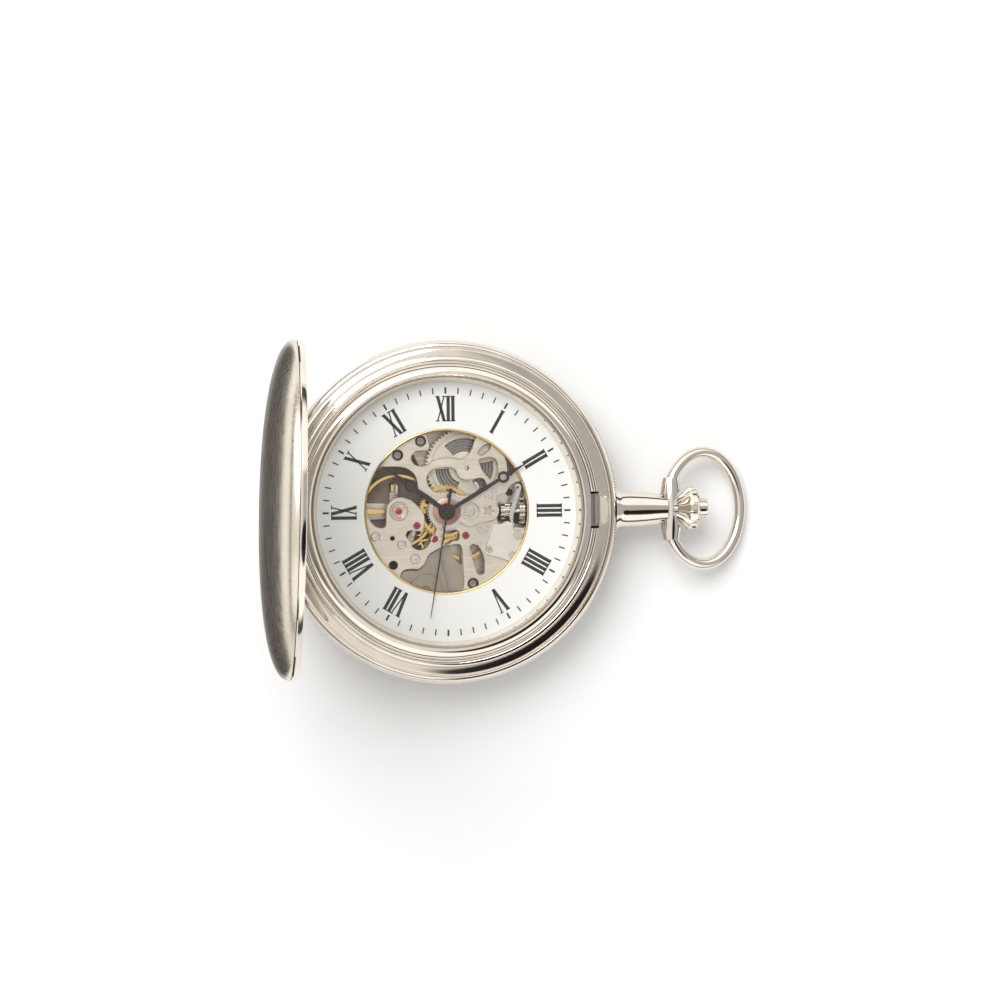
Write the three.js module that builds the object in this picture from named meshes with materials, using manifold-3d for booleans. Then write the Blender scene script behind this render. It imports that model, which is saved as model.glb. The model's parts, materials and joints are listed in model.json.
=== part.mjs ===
// A hunter-case pocket watch with a skeleton dial, lying on its back with the cover open.
// Millimetres. +Z is out of the dial, +X points to the crown, +Y to twelve o'clock.
// The origin is the centre of the flat of the case back.
import * as THREE from 'three';
import { mergeVertices } from 'three/addons/utils/BufferGeometryUtils.js';
import Module from 'manifold-3d';

const wasm = await Module();
wasm.setup();

// ---------- driving dimensions ----------
const CASE_R = 23.4; // outside of the case band
const GAP = 0.03; // between pieces that touch
const ROUND = 36; // sides of the large turned rings
const SMALL = 12; // sides of small round pieces

// heights of the case
const BACK_FLAT_R = 14.5;
const BAND_LOW = 2.0;
const FLANGE_LOW = 6.95; // underside of the flange that carries the bezel
const LEDGE_Z = 8.0; // the closed cover rests here
const BEZEL_TOP = 9.6;
const BORE_R = 18.9; // inside of the case band

// cover and its hinge
const COVER_R = 22.1;
const COVER_RIM_H = 0.9;
const COVER_DOME_H = 4.2;
const COVER_WALL = 0.6;
const DOME_POWER = 2.3; // superellipse of the dome's section
const HINGE_X = -22.3;
const HINGE_Z = 9.25;
const HINGE_TURN = THREE.MathUtils.degToRad(-1.7); // the hinge is soldered slightly off nine o'clock
const KNUCKLE_R = 0.62;
const KNUCKLE_L = 2.5;
const PIN_R = 0.28;

// pendant, crown and bow
const STEM_Z = 4.8;
const STEM_R = 0.5;
const TUBE_BORE_R = 1.0; // through the pendant
const BOW_X = 31.05; // axis of the bow's pivots
const YOKE_HALF = 4.32;
const YOKE_END_R = 1.09;
const YOKE_SWELL = 0.51; // how much thicker the yoke is at its middle
const CROWN_X = 31.75;
const CROWN_R = 2.9;
const CROWN_GRIP = 3.1;
const CROWN_TRAVEL = 0.6;
const BOW_WIRE_R = 0.8;
const BOW_MIDDLE = 5.1; // pivot to the middle of the oval loop
const BOW_SEMI_X = 5.83;
const BOW_SEMI_Y = 7.7;
const BOW_REACH = BOW_MIDDLE + BOW_SEMI_X;
const BOW_DROOP = Math.asin((STEM_Z - BOW_WIRE_R) / BOW_REACH); // the free bow lies on the table

// dial and hands
const DIAL_R = 18.3;
const APERTURE_R = 11.2;
const DIAL_LOW = 6.6;
const DIAL_TOP = 6.95;
const HOUR_ANGLE = THREE.MathUtils.degToRad(90 - 306);
const MINUTE_ANGLE = THREE.MathUtils.degToRad(90 - 59.2);
const SECONDS_ANGLE = THREE.MathUtils.degToRad(90 - 189.7);

// movement: heights
const PLATE_R = 15.5;
const PLATE_LOW = 5.0;
const PLATE_TOP = 6.2;
const BRIDGE_LOW = 1.05;
const BRIDGE_TOP = 1.55;
const ARBOR_LOW = BRIDGE_TOP + GAP;
const ARBOR_TOP = PLATE_LOW - GAP;

// movement: axes
const CENTRE = [0, 0];
const BARREL = [2.69, 6.02];
const THIRD = [2.5, -3.12];
const ESCAPE = [-1.65, -3.69];
const PALLET = [-4.05, -1.87];
const BALANCE = [-6.47, 0.12];
const MINUTE_WHEEL = [3.19, 0];
const CROWN_WHEEL = [9.0, 2.55];
const WINDING_PINION_X = 10.0;
const WINDING_PINION_R = 1.7;

// movement: tooth counts
const TEETH = {
  barrel: 60, centrePinion: 10,
  centre: 60, thirdPinion: 8,
  third: 64, fourthPinion: 8,
  fourth: 60, escapePinion: 6,
  escape: 20,
  cannon: 12, minute: 36,
  minutePinion: 10, hour: 40,
  crownWheel: 24, ratchet: 36,
};

// ---------- materials ----------
function metal(color, roughness, metalness = 1) {
  return new THREE.MeshStandardMaterial({ color, roughness, metalness });
}
const polished = metal(0xcfc8bd, 0.12);
const satin = metal(0xb5aa98, 0.4);
const nickelPlate = metal(0xcfc6b4, 0.35);
const brass = metal(0xd9ad55, 0.25);
const steel = metal(0x8d8a86, 0.3);
const springSteel = metal(0x8a857c, 0.4);
const blackSteel = metal(0x3a3532, 0.35, 0.8);
const copper = metal(0xc98a70, 0.35);
const ruby = metal(0x9c2a55, 0.1, 0);
const glass = new THREE.MeshStandardMaterial({
  color: 0xf4f7f6, roughness: 0.03, metalness: 0, transparent: true, opacity: 0.15,
});
const dialWhite = metal(0xe5e7e3, 0.35, 0);
const sealBlack = metal(0x2a2724, 0.7, 0);

// ---------- solids ----------
function toSolid(geometry) {
  const bare = new THREE.BufferGeometry();
  bare.setAttribute('position', geometry.getAttribute('position'));
  if (geometry.index) bare.setIndex(geometry.index);
  const merged = mergeVertices(bare, 1e-5);
  const corners = merged.index.array;
  const kept = [];
  for (let i = 0; i < corners.length; i += 3) {
    const [a, b, c] = [corners[i], corners[i + 1], corners[i + 2]];
    if (a !== b && b !== c && c !== a) kept.push(a, b, c);
  }
  const build = (order) => new wasm.Manifold(new wasm.Mesh({
    numProp: 3,
    vertProperties: new Float32Array(merged.getAttribute('position').array),
    triVerts: new Uint32Array(order),
  }));
  const solid = build(kept);
  if (solid.volume() > 0) return solid;
  return build(kept.reverse());
}

function toGeometry(solid) {
  const mesh = solid.getMesh();
  const geometry = new THREE.BufferGeometry();
  const stride = mesh.numProp;
  const points = new Float32Array((mesh.vertProperties.length / stride) * 3);
  for (let i = 0; i < points.length / 3; i += 1) {
    points.set(mesh.vertProperties.subarray(i * stride, i * stride + 3), i * 3);
  }
  geometry.setAttribute('position', new THREE.BufferAttribute(points, 3));
  geometry.setIndex(new THREE.BufferAttribute(new Uint32Array(mesh.triVerts), 1));
  geometry.computeVertexNormals();
  return geometry;
}

const join = (first, ...others) => others.reduce((whole, other) => whole.add(other), first);
const cut = (first, ...tools) => tools.reduce((rest, tool) => rest.subtract(tool), first);

// A ring or disc turned about Z from a closed list of [radius, height].
function turned(profile, sides = ROUND) {
  const points = [...profile, profile[0]].map(([r, z]) => new THREE.Vector2(r, z));
  return toSolid(new THREE.LatheGeometry(points, sides).rotateX(Math.PI / 2));
}

function ring(inner, outer, low, high, sides = ROUND) {
  return turned([[inner, low], [outer, low], [outer, high], [inner, high]], sides);
}

// The same, turned about X: profile of [radius, distance along X], at the stem's height.
function turnedOnStem(profile, sides = SMALL) {
  const points = [...profile, profile[0]].map(([r, x]) => new THREE.Vector2(r, x));
  const geometry = new THREE.LatheGeometry(points, sides).rotateZ(-Math.PI / 2);
  return toSolid(geometry.translate(0, 0, STEM_Z));
}

// The same, turned about a line along Y: profile of [radius, y].
function turnedAlongY(profile, x, z, sides = SMALL) {
  const points = [...profile, profile[0]].map(([r, y]) => new THREE.Vector2(r, y));
  return toSolid(new THREE.LatheGeometry(points, sides).translate(x, 0, z));
}

function extruded(shape, low, high) {
  const geometry = new THREE.ExtrudeGeometry(shape, {
    depth: high - low, bevelEnabled: false, curveSegments: 4,
  });
  return toSolid(geometry.translate(0, 0, low));
}

function disc([x, y], r, low, high, sides = SMALL) {
  const geometry = new THREE.CylinderGeometry(r, r, high - low, sides).rotateX(Math.PI / 2);
  return toSolid(geometry.translate(x, y, (low + high) / 2));
}

function box(x0, x1, y0, y1, z0, z1) {
  const geometry = new THREE.BoxGeometry(x1 - x0, y1 - y0, z1 - z0);
  return toSolid(geometry.translate((x0 + x1) / 2, (y0 + y1) / 2, (z0 + z1) / 2));
}

function rodAlongY(x, z, r, y0, y1, sides = SMALL) {
  const geometry = new THREE.CylinderGeometry(r, r, y1 - y0, sides);
  return toSolid(geometry.translate(x, (y0 + y1) / 2, z));
}

// A straight bar with square ends between two points in the plane.
function bar([x0, y0], [x1, y1], width, low, high) {
  const length = Math.hypot(x1 - x0, y1 - y0);
  const geometry = new THREE.BoxGeometry(length, width, high - low);
  geometry.rotateZ(Math.atan2(y1 - y0, x1 - x0));
  return toSolid(geometry.translate((x0 + x1) / 2, (y0 + y1) / 2, (low + high) / 2));
}

// Part of a flat ring between two angles in degrees.
function arcShape(inner, outer, from, to, [x, y] = CENTRE) {
  const [a, b] = [THREE.MathUtils.degToRad(from), THREE.MathUtils.degToRad(to)];
  const shape = new THREE.Shape();
  shape.absarc(x, y, outer, a, b, false);
  shape.absarc(x, y, inner, b, a, true);
  return shape;
}

const angleTo = (a, b) => Math.atan2(b[1] - a[1], b[0] - a[0]);
const distance = (a, b) => Math.hypot(b[0] - a[0], b[1] - a[1]);
const polar = ([x, y], r, angle) => [x + r * Math.cos(angle), y + r * Math.sin(angle)];

// ---------- gears ----------
// Pitch radii of a meshing pair from its centre distance and tooth counts.
function pair(apart, teethA, teethB) {
  const total = teethA + teethB;
  return { module: (2 * apart) / total, a: (apart * teethA) / total, b: (apart * teethB) / total };
}

const ADDENDUM = 0.6; // in modules
const DEDENDUM = 0.95;

function gearShape(centre, teeth, pitchR, module, phase) {
  const shape = new THREE.Shape();
  const points = [];
  for (let i = 0; i < 2 * teeth; i += 1) {
    const r = i % 2 ? pitchR - DEDENDUM * module : pitchR + ADDENDUM * module;
    points.push(new THREE.Vector2(...polar(centre, r, phase + (i * Math.PI) / teeth)));
  }
  shape.setFromPoints(points);
  return shape;
}

function spokeWindows(shape, centre, inner, outer, count, spoke, phase) {
  for (let i = 0; i < count; i += 1) {
    const step = 360 / count;
    const half = THREE.MathUtils.radToDeg(spoke / (inner + outer));
    const from = phase + i * step + half;
    shape.holes.push(arcShape(inner, outer, from, from + step - 2 * half, centre));
  }
  return shape;
}

// Tooth phases that put a tooth of one wheel in a gap of the other on their line of centres.
function meshPhases(a, b, teethB) {
  const line = angleTo(a, b);
  return [line, line + Math.PI + Math.PI / teethB];
}

// ---------- the scene graph ----------
const watch = new THREE.Group();
const openCover = new THREE.Group(); // pieces are drawn closed and turned open about the hinge
const turnedHinge = new THREE.Group();
turnedHinge.rotation.z = HINGE_TURN;
openCover.position.set(HINGE_X, 0, HINGE_Z);
openCover.rotation.y = -Math.PI / 2;
const coverFrame = new THREE.Group();
coverFrame.position.set(-HINGE_X, 0, -HINGE_Z);
openCover.add(coverFrame);
turnedHinge.add(openCover);
watch.add(turnedHinge);

const bowFrame = new THREE.Group();
bowFrame.position.set(BOW_X, 0, STEM_Z);
bowFrame.rotation.y = BOW_DROOP;
watch.add(bowFrame);

function add(name, solid, material, parent = watch) {
  const mesh = new THREE.Mesh(toGeometry(solid), material);
  mesh.name = name;
  parent.add(mesh);
}

// ---------- case ----------
function turnedToHinge(solid) {
  return solid.rotate([0, 0, THREE.MathUtils.radToDeg(HINGE_TURN)]);
}

function hingeKnuckles(r) {
  const [near, far] = [KNUCKLE_L / 2 + GAP, KNUCKLE_L * 1.5];
  return [[near, far], [-far, -near]].map(([y0, y1]) => rodAlongY(HINGE_X, HINGE_Z, r, y0, y1));
}

const SLOT = { x0: 19.4, x1: 20.65, half: 2.5 }; // for the cover's catch

function catchSlot(low, high) {
  return box(SLOT.x0, SLOT.x1, -SLOT.half, SLOT.half, low, high);
}

function caseBand() {
  const band = turned([
    [BORE_R, FLANGE_LOW], [21.9, FLANGE_LOW], [21.9, BAND_LOW + 0.6], [22.4, BAND_LOW],
    [23.0, BAND_LOW + 0.3], [CASE_R, BAND_LOW + 1.0], [CASE_R, 7.2], [23.2, 7.85],
    [22.8, 8.15], [22.42, 8.05], [22.3, 7.7], [22.15, LEDGE_Z], [21.1, LEDGE_Z],
    [21.0, 8.22], [20.45, 8.22], [20.3, 7.95], [BORE_R, 7.95],
  ]);
  const feet = [-1, 1].map((side) => {
    const [y0, y1] = [KNUCKLE_L / 2 + GAP, KNUCKLE_L * 1.5].map((y) => side * y).sort((a, b) => a - b);
    return box(HINGE_X - KNUCKLE_R, HINGE_X - 0.1, y0, y1, 7.6, HINGE_Z);
  });
  const knuckles = join(...hingeKnuckles(KNUCKLE_R), ...feet);
  const pinHole = rodAlongY(HINGE_X, HINGE_Z, PIN_R + GAP, -KNUCKLE_L * 2, KNUCKLE_L * 2);
  const stemHole = turnedOnStem([[0, 20], [1.5, 20], [1.5, 24], [0, 24]]);
  return cut(join(band, turnedToHinge(cut(knuckles, pinHole))), stemHole, catchSlot(6, 9));
}

function caseBack() {
  return turned([
    [0, 0], [BACK_FLAT_R, 0], [18.5, 0.45], [21.2, 1.2], [22.3, BAND_LOW - GAP],
    [21.8, BAND_LOW + 0.2], [21.8, 3.0], [21.3, 3.0], [21.2, 1.9], [17, 0.85], [0, 0.8],
  ]);
}

function bezel() {
  const body = turned([
    [17.65, DIAL_TOP + GAP], [18.8, DIAL_TOP + GAP], [18.8, 7.95 + GAP], [20.2, 7.95 + GAP],
    [20.1, 8.5], [19.75, 9.1], [19.3, 9.45], [18.8, BEZEL_TOP], [18.45, 9.5],
    [18.45, 8.9], [18.1, 8.9],
  ]);
  return cut(body, catchSlot(6, 11));
}

function crystal() {
  return turned([[0, 8.95], [18.1, 8.95], [18.15, 9.45], [17.9, 9.65], [0, 9.75]]);
}

add('case_band', caseBand(), polished);
add('case_back', caseBack(), polished);
add('bezel', bezel(), polished);
add('crystal', crystal(), glass);
add('crystal_gasket', ring(18.2, 18.42, 8.95, 9.4), sealBlack);

function domePoints(radius, height, base, count) {
  const points = [];
  for (let i = 0; i <= count; i += 1) {
    const t = (i / count) * (Math.PI / 2);
    const r = radius * Math.cos(t) ** (2 / DOME_POWER);
    points.push([i === count ? 0 : r, base + height * Math.sin(t) ** (2 / DOME_POWER)]);
  }
  return points;
}

function coverPieces() {
  const rimTop = LEDGE_Z + GAP + COVER_RIM_H;
  const shellLow = rimTop + GAP;
  const outside = domePoints(COVER_R - 0.1, COVER_DOME_H, shellLow, 6);
  const inside = domePoints(COVER_R - 0.1 - COVER_WALL, COVER_DOME_H - COVER_WALL, shellLow, 6);
  const room = join(...hingeKnuckles(KNUCKLE_R + 0.06));
  const own = rodAlongY(HINGE_X, HINGE_Z, KNUCKLE_R, -KNUCKLE_L / 2, KNUCKLE_L / 2);
  const ownRoom = rodAlongY(HINGE_X, HINGE_Z, KNUCKLE_R + GAP, -KNUCKLE_L / 2, KNUCKLE_L / 2);
  const pinHole = rodAlongY(HINGE_X, HINGE_Z, PIN_R + GAP, -KNUCKLE_L * 2, KNUCKLE_L * 2);
  const rimRing = cut(ring(21.2, COVER_R, LEDGE_Z + GAP, rimTop), room);
  // the shell stands on the rim's top
  const shell = cut(turned([...outside, ...inside.reverse()]), room, ownRoom);
  return { rim: cut(join(rimRing, own), pinHole), shell };
}
const cover = coverPieces();
add('cover_rim', cover.rim, polished, coverFrame);
add('cover_shell', cover.shell, satin, coverFrame);
add(
  'hinge_pin', rodAlongY(HINGE_X, HINGE_Z, PIN_R, -KNUCKLE_L * 1.5, KNUCKLE_L * 1.5, 12), steel,
  turnedHinge,
);

// ---------- springs and catch in the case ----------
function lidCatch() {
  const carriage = box(19.6, 21.5, -2.2, 2.2, 6.3, 6.85);
  const hook = box(20.1, 20.55, -2.2, 2.2, 6.8, 8.75);
  const lip = box(20.5, 20.95, -2.2, 2.2, 8.4, 8.75);
  return join(carriage, hook, lip);
}
add('lid_catch', lidCatch(), steel);
add('lock_spring', extruded(arcShape(21.1, 21.5, 10, 95), 3.4, 6.0), springSteel);
add('fly_spring', extruded(arcShape(21.0, 21.5, 140, 215), 3.6, 6.2), springSteel);

// ---------- pendant, crown, stem and bow ----------
// The barrel-shaped neck with the yoke across its end, hollowed for the crown.
function pendant() {
  const neck = turnedOnStem([
    [TUBE_BORE_R, 22.2], [1.4, 22.2], [1.4, CASE_R + GAP], [2.8, CASE_R + GAP], [2.5, 24.2],
    [2.45, 26.2], [2.2, 28.6], [1.95, 30.2], [TUBE_BORE_R, 30.2],
  ], 20);
  const yokeSide = [];
  const steps = 8;
  for (let i = 0; i <= steps; i += 1) {
    const y = YOKE_HALF * ((2 * i) / steps - 1);
    yokeSide.push([YOKE_END_R + YOKE_SWELL * (1 - (y / YOKE_HALF) ** 2), y]);
  }
  const yoke = turnedAlongY([[0, -YOKE_HALF], ...yokeSide, [0, YOKE_HALF]], BOW_X, STEM_Z, 20);
  const roomStart = CROWN_X - CROWN_TRAVEL - 0.1;
  const crownRoom = turnedOnStem([
    [0, roomStart], [1.6, roomStart], [CROWN_R + 0.15, roomStart + 1.5], [CROWN_R + 0.15, 35], [0, 35],
  ], 24);
  const bore = turnedOnStem([[0, 22], [TUBE_BORE_R, 22], [TUBE_BORE_R, 34], [0, 34]]);
  const bowHoles = [-1, 1].map((side) => {
    const ends = [side * 3.3, side * 5].sort((a, b) => a - b);
    return rodAlongY(BOW_X, STEM_Z, BOW_WIRE_R + 0.08, ...ends);
  });
  return cut(join(neck, yoke), crownRoom, bore, ...bowHoles);
}

// A fluted onion with a plain button at its end.
function crown() {
  const flutes = 14;
  const outline = [];
  for (let i = 0; i < flutes * 4; i += 1) {
    const r = CROWN_R - (i % 4 < 3 ? 0 : 0.28);
    outline.push(new THREE.Vector2(...polar(CENTRE, r, ((i + 0.5) / (flutes * 4)) * 2 * Math.PI)));
  }
  const depth = CROWN_GRIP;
  const fluted = new THREE.ExtrudeGeometry(new THREE.Shape(outline), { depth, bevelEnabled: false });
  const grip = toSolid(fluted.rotateY(Math.PI / 2).translate(CROWN_X, 0, STEM_Z));
  const envelope = turnedOnStem([
    [0, CROWN_X], [1.4, CROWN_X], [CROWN_R, CROWN_X + 1.65], [CROWN_R, CROWN_X + 2.6],
    [2.0, CROWN_X + CROWN_GRIP], [0, CROWN_X + CROWN_GRIP],
  ], 32);
  const buttonStart = CROWN_X + CROWN_GRIP - 0.3;
  const button = turnedOnStem([
    [0, buttonStart], [1.37, buttonStart], [1.37, buttonStart + 1.4], [1.15, buttonStart + 1.5],
    [0, buttonStart + 1.5],
  ]);
  const stemHole = turnedOnStem([
    [0, CROWN_X - 1], [STEM_R + GAP, CROWN_X - 1], [STEM_R + GAP, CROWN_X + 2], [0, CROWN_X + 2],
  ]);
  return cut(join(grip.intersect(envelope), button), stemHole);
}

// An oval loop whose ends turn in to the pivots in the yoke.
function bow() {
  const wire = new THREE.Shape();
  wire.absarc(0, 0, BOW_WIRE_R, 0, 2 * Math.PI);
  const limit = Math.PI - Math.asin((YOKE_HALF + BOW_WIRE_R + 0.1) / BOW_SEMI_Y);
  const steps = 28;
  const points = [];
  for (let i = 0; i <= steps; i += 1) {
    const t = -limit + (2 * limit * i) / steps;
    const x = BOW_MIDDLE + BOW_SEMI_X * Math.cos(t);
    points.push(new THREE.Vector3(x, BOW_SEMI_Y * Math.sin(t), 0));
  }
  const ends = [3.4, YOKE_HALF + 0.2];
  points.unshift(...ends.map((y) => new THREE.Vector3(0, -y, 0)));
  points.push(...ends.reverse().map((y) => new THREE.Vector3(0, y, 0)));
  const extrudePath = new THREE.CatmullRomCurve3(points, false, 'centripetal');
  return toSolid(new THREE.ExtrudeGeometry(wire, {
    steps: 36, extrudePath, curveSegments: 4, bevelEnabled: false,
  }));
}

// Its inner end and its collar stop a full push short of the plate and the movement ring.
function stem() {
  const start = 7.1 + CROWN_TRAVEL;
  return turnedOnStem([
    [0, start], [0.35, start], [0.35, 11.5], [STEM_R, 11.6], [STEM_R, CROWN_X + 1.8], [0, CROWN_X + 1.8],
  ], 12);
}

function releaseCollar() {
  const start = 19.05 + CROWN_TRAVEL;
  return turnedOnStem([[0.6, start], [1.3, start], [1.3, 21.6], [0.6, 21.6]]);
}

add('pendant', pendant(), polished);
add('crown', crown(), polished);
add('stem', stem(), steel);
add('release_collar', releaseCollar(), steel);
add('bow', bow(), polished, bowFrame);

// ---------- dial ----------
add('dial', ring(APERTURE_R + GAP, DIAL_R, DIAL_LOW, DIAL_TOP), dialWhite);
add('aperture_ring', ring(10.95, APERTURE_R, DIAL_LOW, DIAL_TOP + 0.08), brass);

const RING_LOW = 3.2; // underside of the ring that centres the movement in the case

function movementRing() {
  const body = turned([
    [PLATE_R + GAP, RING_LOW], [BORE_R - 0.05, RING_LOW],
    [BORE_R - 0.05, DIAL_LOW - GAP], [PLATE_R + GAP, DIAL_LOW - GAP],
  ]);
  return cut(body, turnedOnStem([[0, 14], [0.8, 14], [0.8, 20], [0, 20]]));
}
add('movement_ring', movementRing(), nickelPlate);

// ---------- movement plates ----------
const minutes = pair(distance(CENTRE, MINUTE_WHEEL), TEETH.cannon, TEETH.minute);
const hours = pair(distance(CENTRE, MINUTE_WHEEL), TEETH.hour, TEETH.minutePinion);

function mainPlate() {
  const plate = disc(CENTRE, PLATE_R, PLATE_LOW, PLATE_TOP, ROUND);
  const low = PLATE_LOW - 1;
  const high = PLATE_TOP + 1;
  const balanceRoom = disc(BALANCE, 5.4, low, high, 32);
  const foot = join(disc(BALANCE, 1.95, low, high, 24), bar(BALANCE, [-4.4, -6.5], 3.9, low, high));
  const barrelWindows = [[25, 62], [80, 130], [205, 285]].map(([from, to]) => (
    extruded(arcShape(1.9, 4.9, from, to, BARREL), low, high)));
  const palletWindow = join(
    disc([-3.9, -3.3], 0.8, low, high),
    bar([-3.9, -3.6], [-1.9, -3.6], 1.9, low, high),
  );
  const trainSlot = join(
    disc([3.6, -4.9], 0.75, low, high),
    disc([4.4, -7.6], 0.75, low, high),
    bar([3.6, -4.9], [4.4, -7.6], 1.5, low, high),
  );
  const centreRoom = cut(
    disc(CENTRE, 3.9, low, high, 32), disc(CENTRE, 1.6, low, high), box(0.6, 4, -4, 4, low, high),
  );
  const lowerRoom = join(
    disc([-1.7, -8.4], 2.2, low, high, 24),
    disc([0.9, -9.2], 1.6, low, high),
    disc([0.6, -6.2], 1.4, low, high),
  );
  const windingRoom = box(7.05, 11.2, -2.0, 2.0, low, high);
  const stemChannel = box(11, 16, -0.7, 0.7, low, STEM_Z + 0.8);
  const minuteRecess = disc(MINUTE_WHEEL, minutes.b + 0.3, PLATE_TOP - 0.45, high, 24);
  const cannonRecess = disc(CENTRE, minutes.a + 0.3, PLATE_TOP - 0.45, high);
  const centreHole = disc(CENTRE, 0.7, low, high);
  return cut(
    cut(plate, cut(balanceRoom, foot)), ...barrelWindows, palletWindow, trainSlot, centreRoom, lowerRoom,
    windingRoom, stemChannel, minuteRecess, cannonRecess, centreHole,
  );
}

function bridgeOver(shape, footFrom, footTo) {
  const plate = extruded(shape, BRIDGE_LOW, BRIDGE_TOP);
  const foot = extruded(arcShape(13.0, 15.2, footFrom, footTo), BRIDGE_TOP - 0.1, ARBOR_TOP);
  return join(plate, foot);
}

function motionWorkBridge() {
  const [low, high] = [PLATE_TOP + 0.35, PLATE_TOP + 0.55];
  const outline = join(
    disc(MINUTE_WHEEL, 1.9, low, high, 24),
    disc([5.75, 0.05], 1.35, low, high, 24),
    disc([5.7, 1.9], 1.1, low, high, 24),
    bar(MINUTE_WHEEL, [5.75, 0.3], 2.9, low, high),
  );
  const post = disc([5.84, 2.23], 0.5, PLATE_TOP + GAP, low + 0.05);
  const pinionHole = disc(MINUTE_WHEEL, 1.25, low - 1, high + 1);
  const washerRoom = disc(CENTRE, 1.95, low - 1, high + 1);
  return join(cut(outline, pinionHole, washerRoom), post);
}

add('main_plate', mainPlate(), nickelPlate);
add('motion_work_bridge', motionWorkBridge(), nickelPlate);
add('barrel_bridge', bridgeOver(arcShape(1.0, 15.2, 20, 118), 24, 114), nickelPlate);
add('train_bridge', bridgeOver(arcShape(0.6, 15.2, 238, 350), 244, 346), nickelPlate);

function balanceCock() {
  const arm = bar(BALANCE, [-14, 0.12], 2.4, BRIDGE_LOW, BRIDGE_TOP);
  const end = disc(BALANCE, 1.5, BRIDGE_LOW, BRIDGE_TOP, 24);
  return join(bridgeOver(arcShape(12.6, 15.2, 160, 200), 164, 196), arm, end);
}

function palletCock() {
  const foot = [-6.0, -6.9];
  const arm = join(bar(PALLET, foot, 0.9, 2.3, 2.7), disc(PALLET, 0.5, 2.3, 2.7));
  return join(arm, disc(foot, 0.9, 2.3, ARBOR_TOP));
}

add('balance_cock', balanceCock(), nickelPlate);
add('pallet_cock', palletCock(), nickelPlate);

const keylessLow = PLATE_TOP + GAP;
function settingLeverPlate() {
  const shape = new THREE.Shape();
  shape.moveTo(7.0, -1.9);
  shape.quadraticCurveTo(8.6, -2.6, 9.0, -2.3);
  shape.lineTo(10.3, -2.9);
  shape.lineTo(9.6, -4.4);
  shape.lineTo(8.0, -6.8);
  shape.lineTo(5.2, -5.7);
  shape.quadraticCurveTo(6.2, -3.6, 7.0, -1.9);
  return extruded(shape, keylessLow, keylessLow + 0.25);
}
add('setting_lever_plate', settingLeverPlate(), nickelPlate);

function settingLever() {
  const [head, tip] = [[9.65, 3.1], [8.4, -1.55]];
  const high = keylessLow + 0.25;
  return join(disc(head, 0.55, keylessLow, high), bar(head, tip, 0.45, keylessLow, high));
}
add('setting_lever', settingLever(), steel);

// ---------- power ----------
const driving = pair(distance(BARREL, CENTRE), TEETH.barrel, TEETH.centrePinion);
const [barrelPhase, centrePinionPhase] = meshPhases(BARREL, CENTRE, TEETH.centrePinion);
const BARREL_DRUM_R = 5.15;

function barrel() {
  const face = gearShape(BARREL, TEETH.barrel, driving.a, driving.module, barrelPhase);
  const toothed = extruded(face, 4.1, 4.5);
  const drum = disc(BARREL, BARREL_DRUM_R, 3.05, 4.2, 32);
  const room = disc(BARREL, BARREL_DRUM_R - 0.2, 3.0, 4.3, 32);
  const windows = [[60, 125], [180, 245], [300, 5 + 360]].map(([from, to]) => (
    extruded(arcShape(2.4, 4.2, from, to, BARREL), 4.0, 5.0)));
  return cut(join(toothed, drum), room, disc(BARREL, 0.85, 3, 5), ...windows);
}

// A flat coiled spring: a strip between two spirals.
function coiled([x, y], inner, outer, turns, thickness, low, high, perTurn = 12) {
  const steps = Math.round(turns * perTurn);
  const points = [];
  const at = (i, offset) => {
    const r = inner + ((outer - inner) * i) / steps + offset;
    return new THREE.Vector2(...polar([x, y], r, (i / perTurn) * 2 * Math.PI));
  };
  for (let i = 0; i <= steps; i += 1) points.push(at(i, thickness / 2));
  for (let i = steps; i >= 0; i -= 1) points.push(at(i, -thickness / 2));
  return extruded(new THREE.Shape(points), low, high);
}

add('barrel', barrel(), brass);
add('mainspring', coiled(BARREL, 1.5, 4.7, 5, 0.2, 3.2, 4.2), springSteel);
add('barrel_arbor', join(
  disc(BARREL, 0.75, 2.05, 4.7), disc(BARREL, 1.2, 3.2, 4.2), disc(BARREL, 0.45, 4.6, ARBOR_TOP),
), steel);

const winding = pair(distance(CROWN_WHEEL, BARREL), TEETH.crownWheel, TEETH.ratchet);
const [crownWheelPhase, ratchetPhase] = meshPhases(CROWN_WHEEL, BARREL, TEETH.ratchet);

const WINDING_LOW = 1.7; // the crown and ratchet wheels lie in one plane
const WINDING_HIGH = 2.0;

function crownWheel() {
  const face = gearShape(CROWN_WHEEL, TEETH.crownWheel, winding.a, winding.module, crownWheelPhase);
  const flat = extruded(face, WINDING_LOW, WINDING_HIGH);
  const upstand = ring(2.2, 2.6, 1.95, 2.9, 24).translate([...CROWN_WHEEL, 0]);
  return cut(join(flat, upstand), disc(CROWN_WHEEL, 0.5, 1, 3));
}
add('crown_wheel', crownWheel(), steel);
add('ratchet_wheel', extruded(
  gearShape(BARREL, TEETH.ratchet, winding.b, winding.module, ratchetPhase), WINDING_LOW, WINDING_HIGH,
), steel);

const clickPivot = polar(BARREL, winding.b + 1.3, THREE.MathUtils.degToRad(75));
const clickTip = polar(BARREL, winding.b + 0.42, THREE.MathUtils.degToRad(91));
add('click', join(
  disc(clickPivot, 0.5, WINDING_LOW, WINDING_HIGH),
  bar(clickPivot, clickTip, 0.45, WINDING_LOW, WINDING_HIGH),
), steel);

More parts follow.
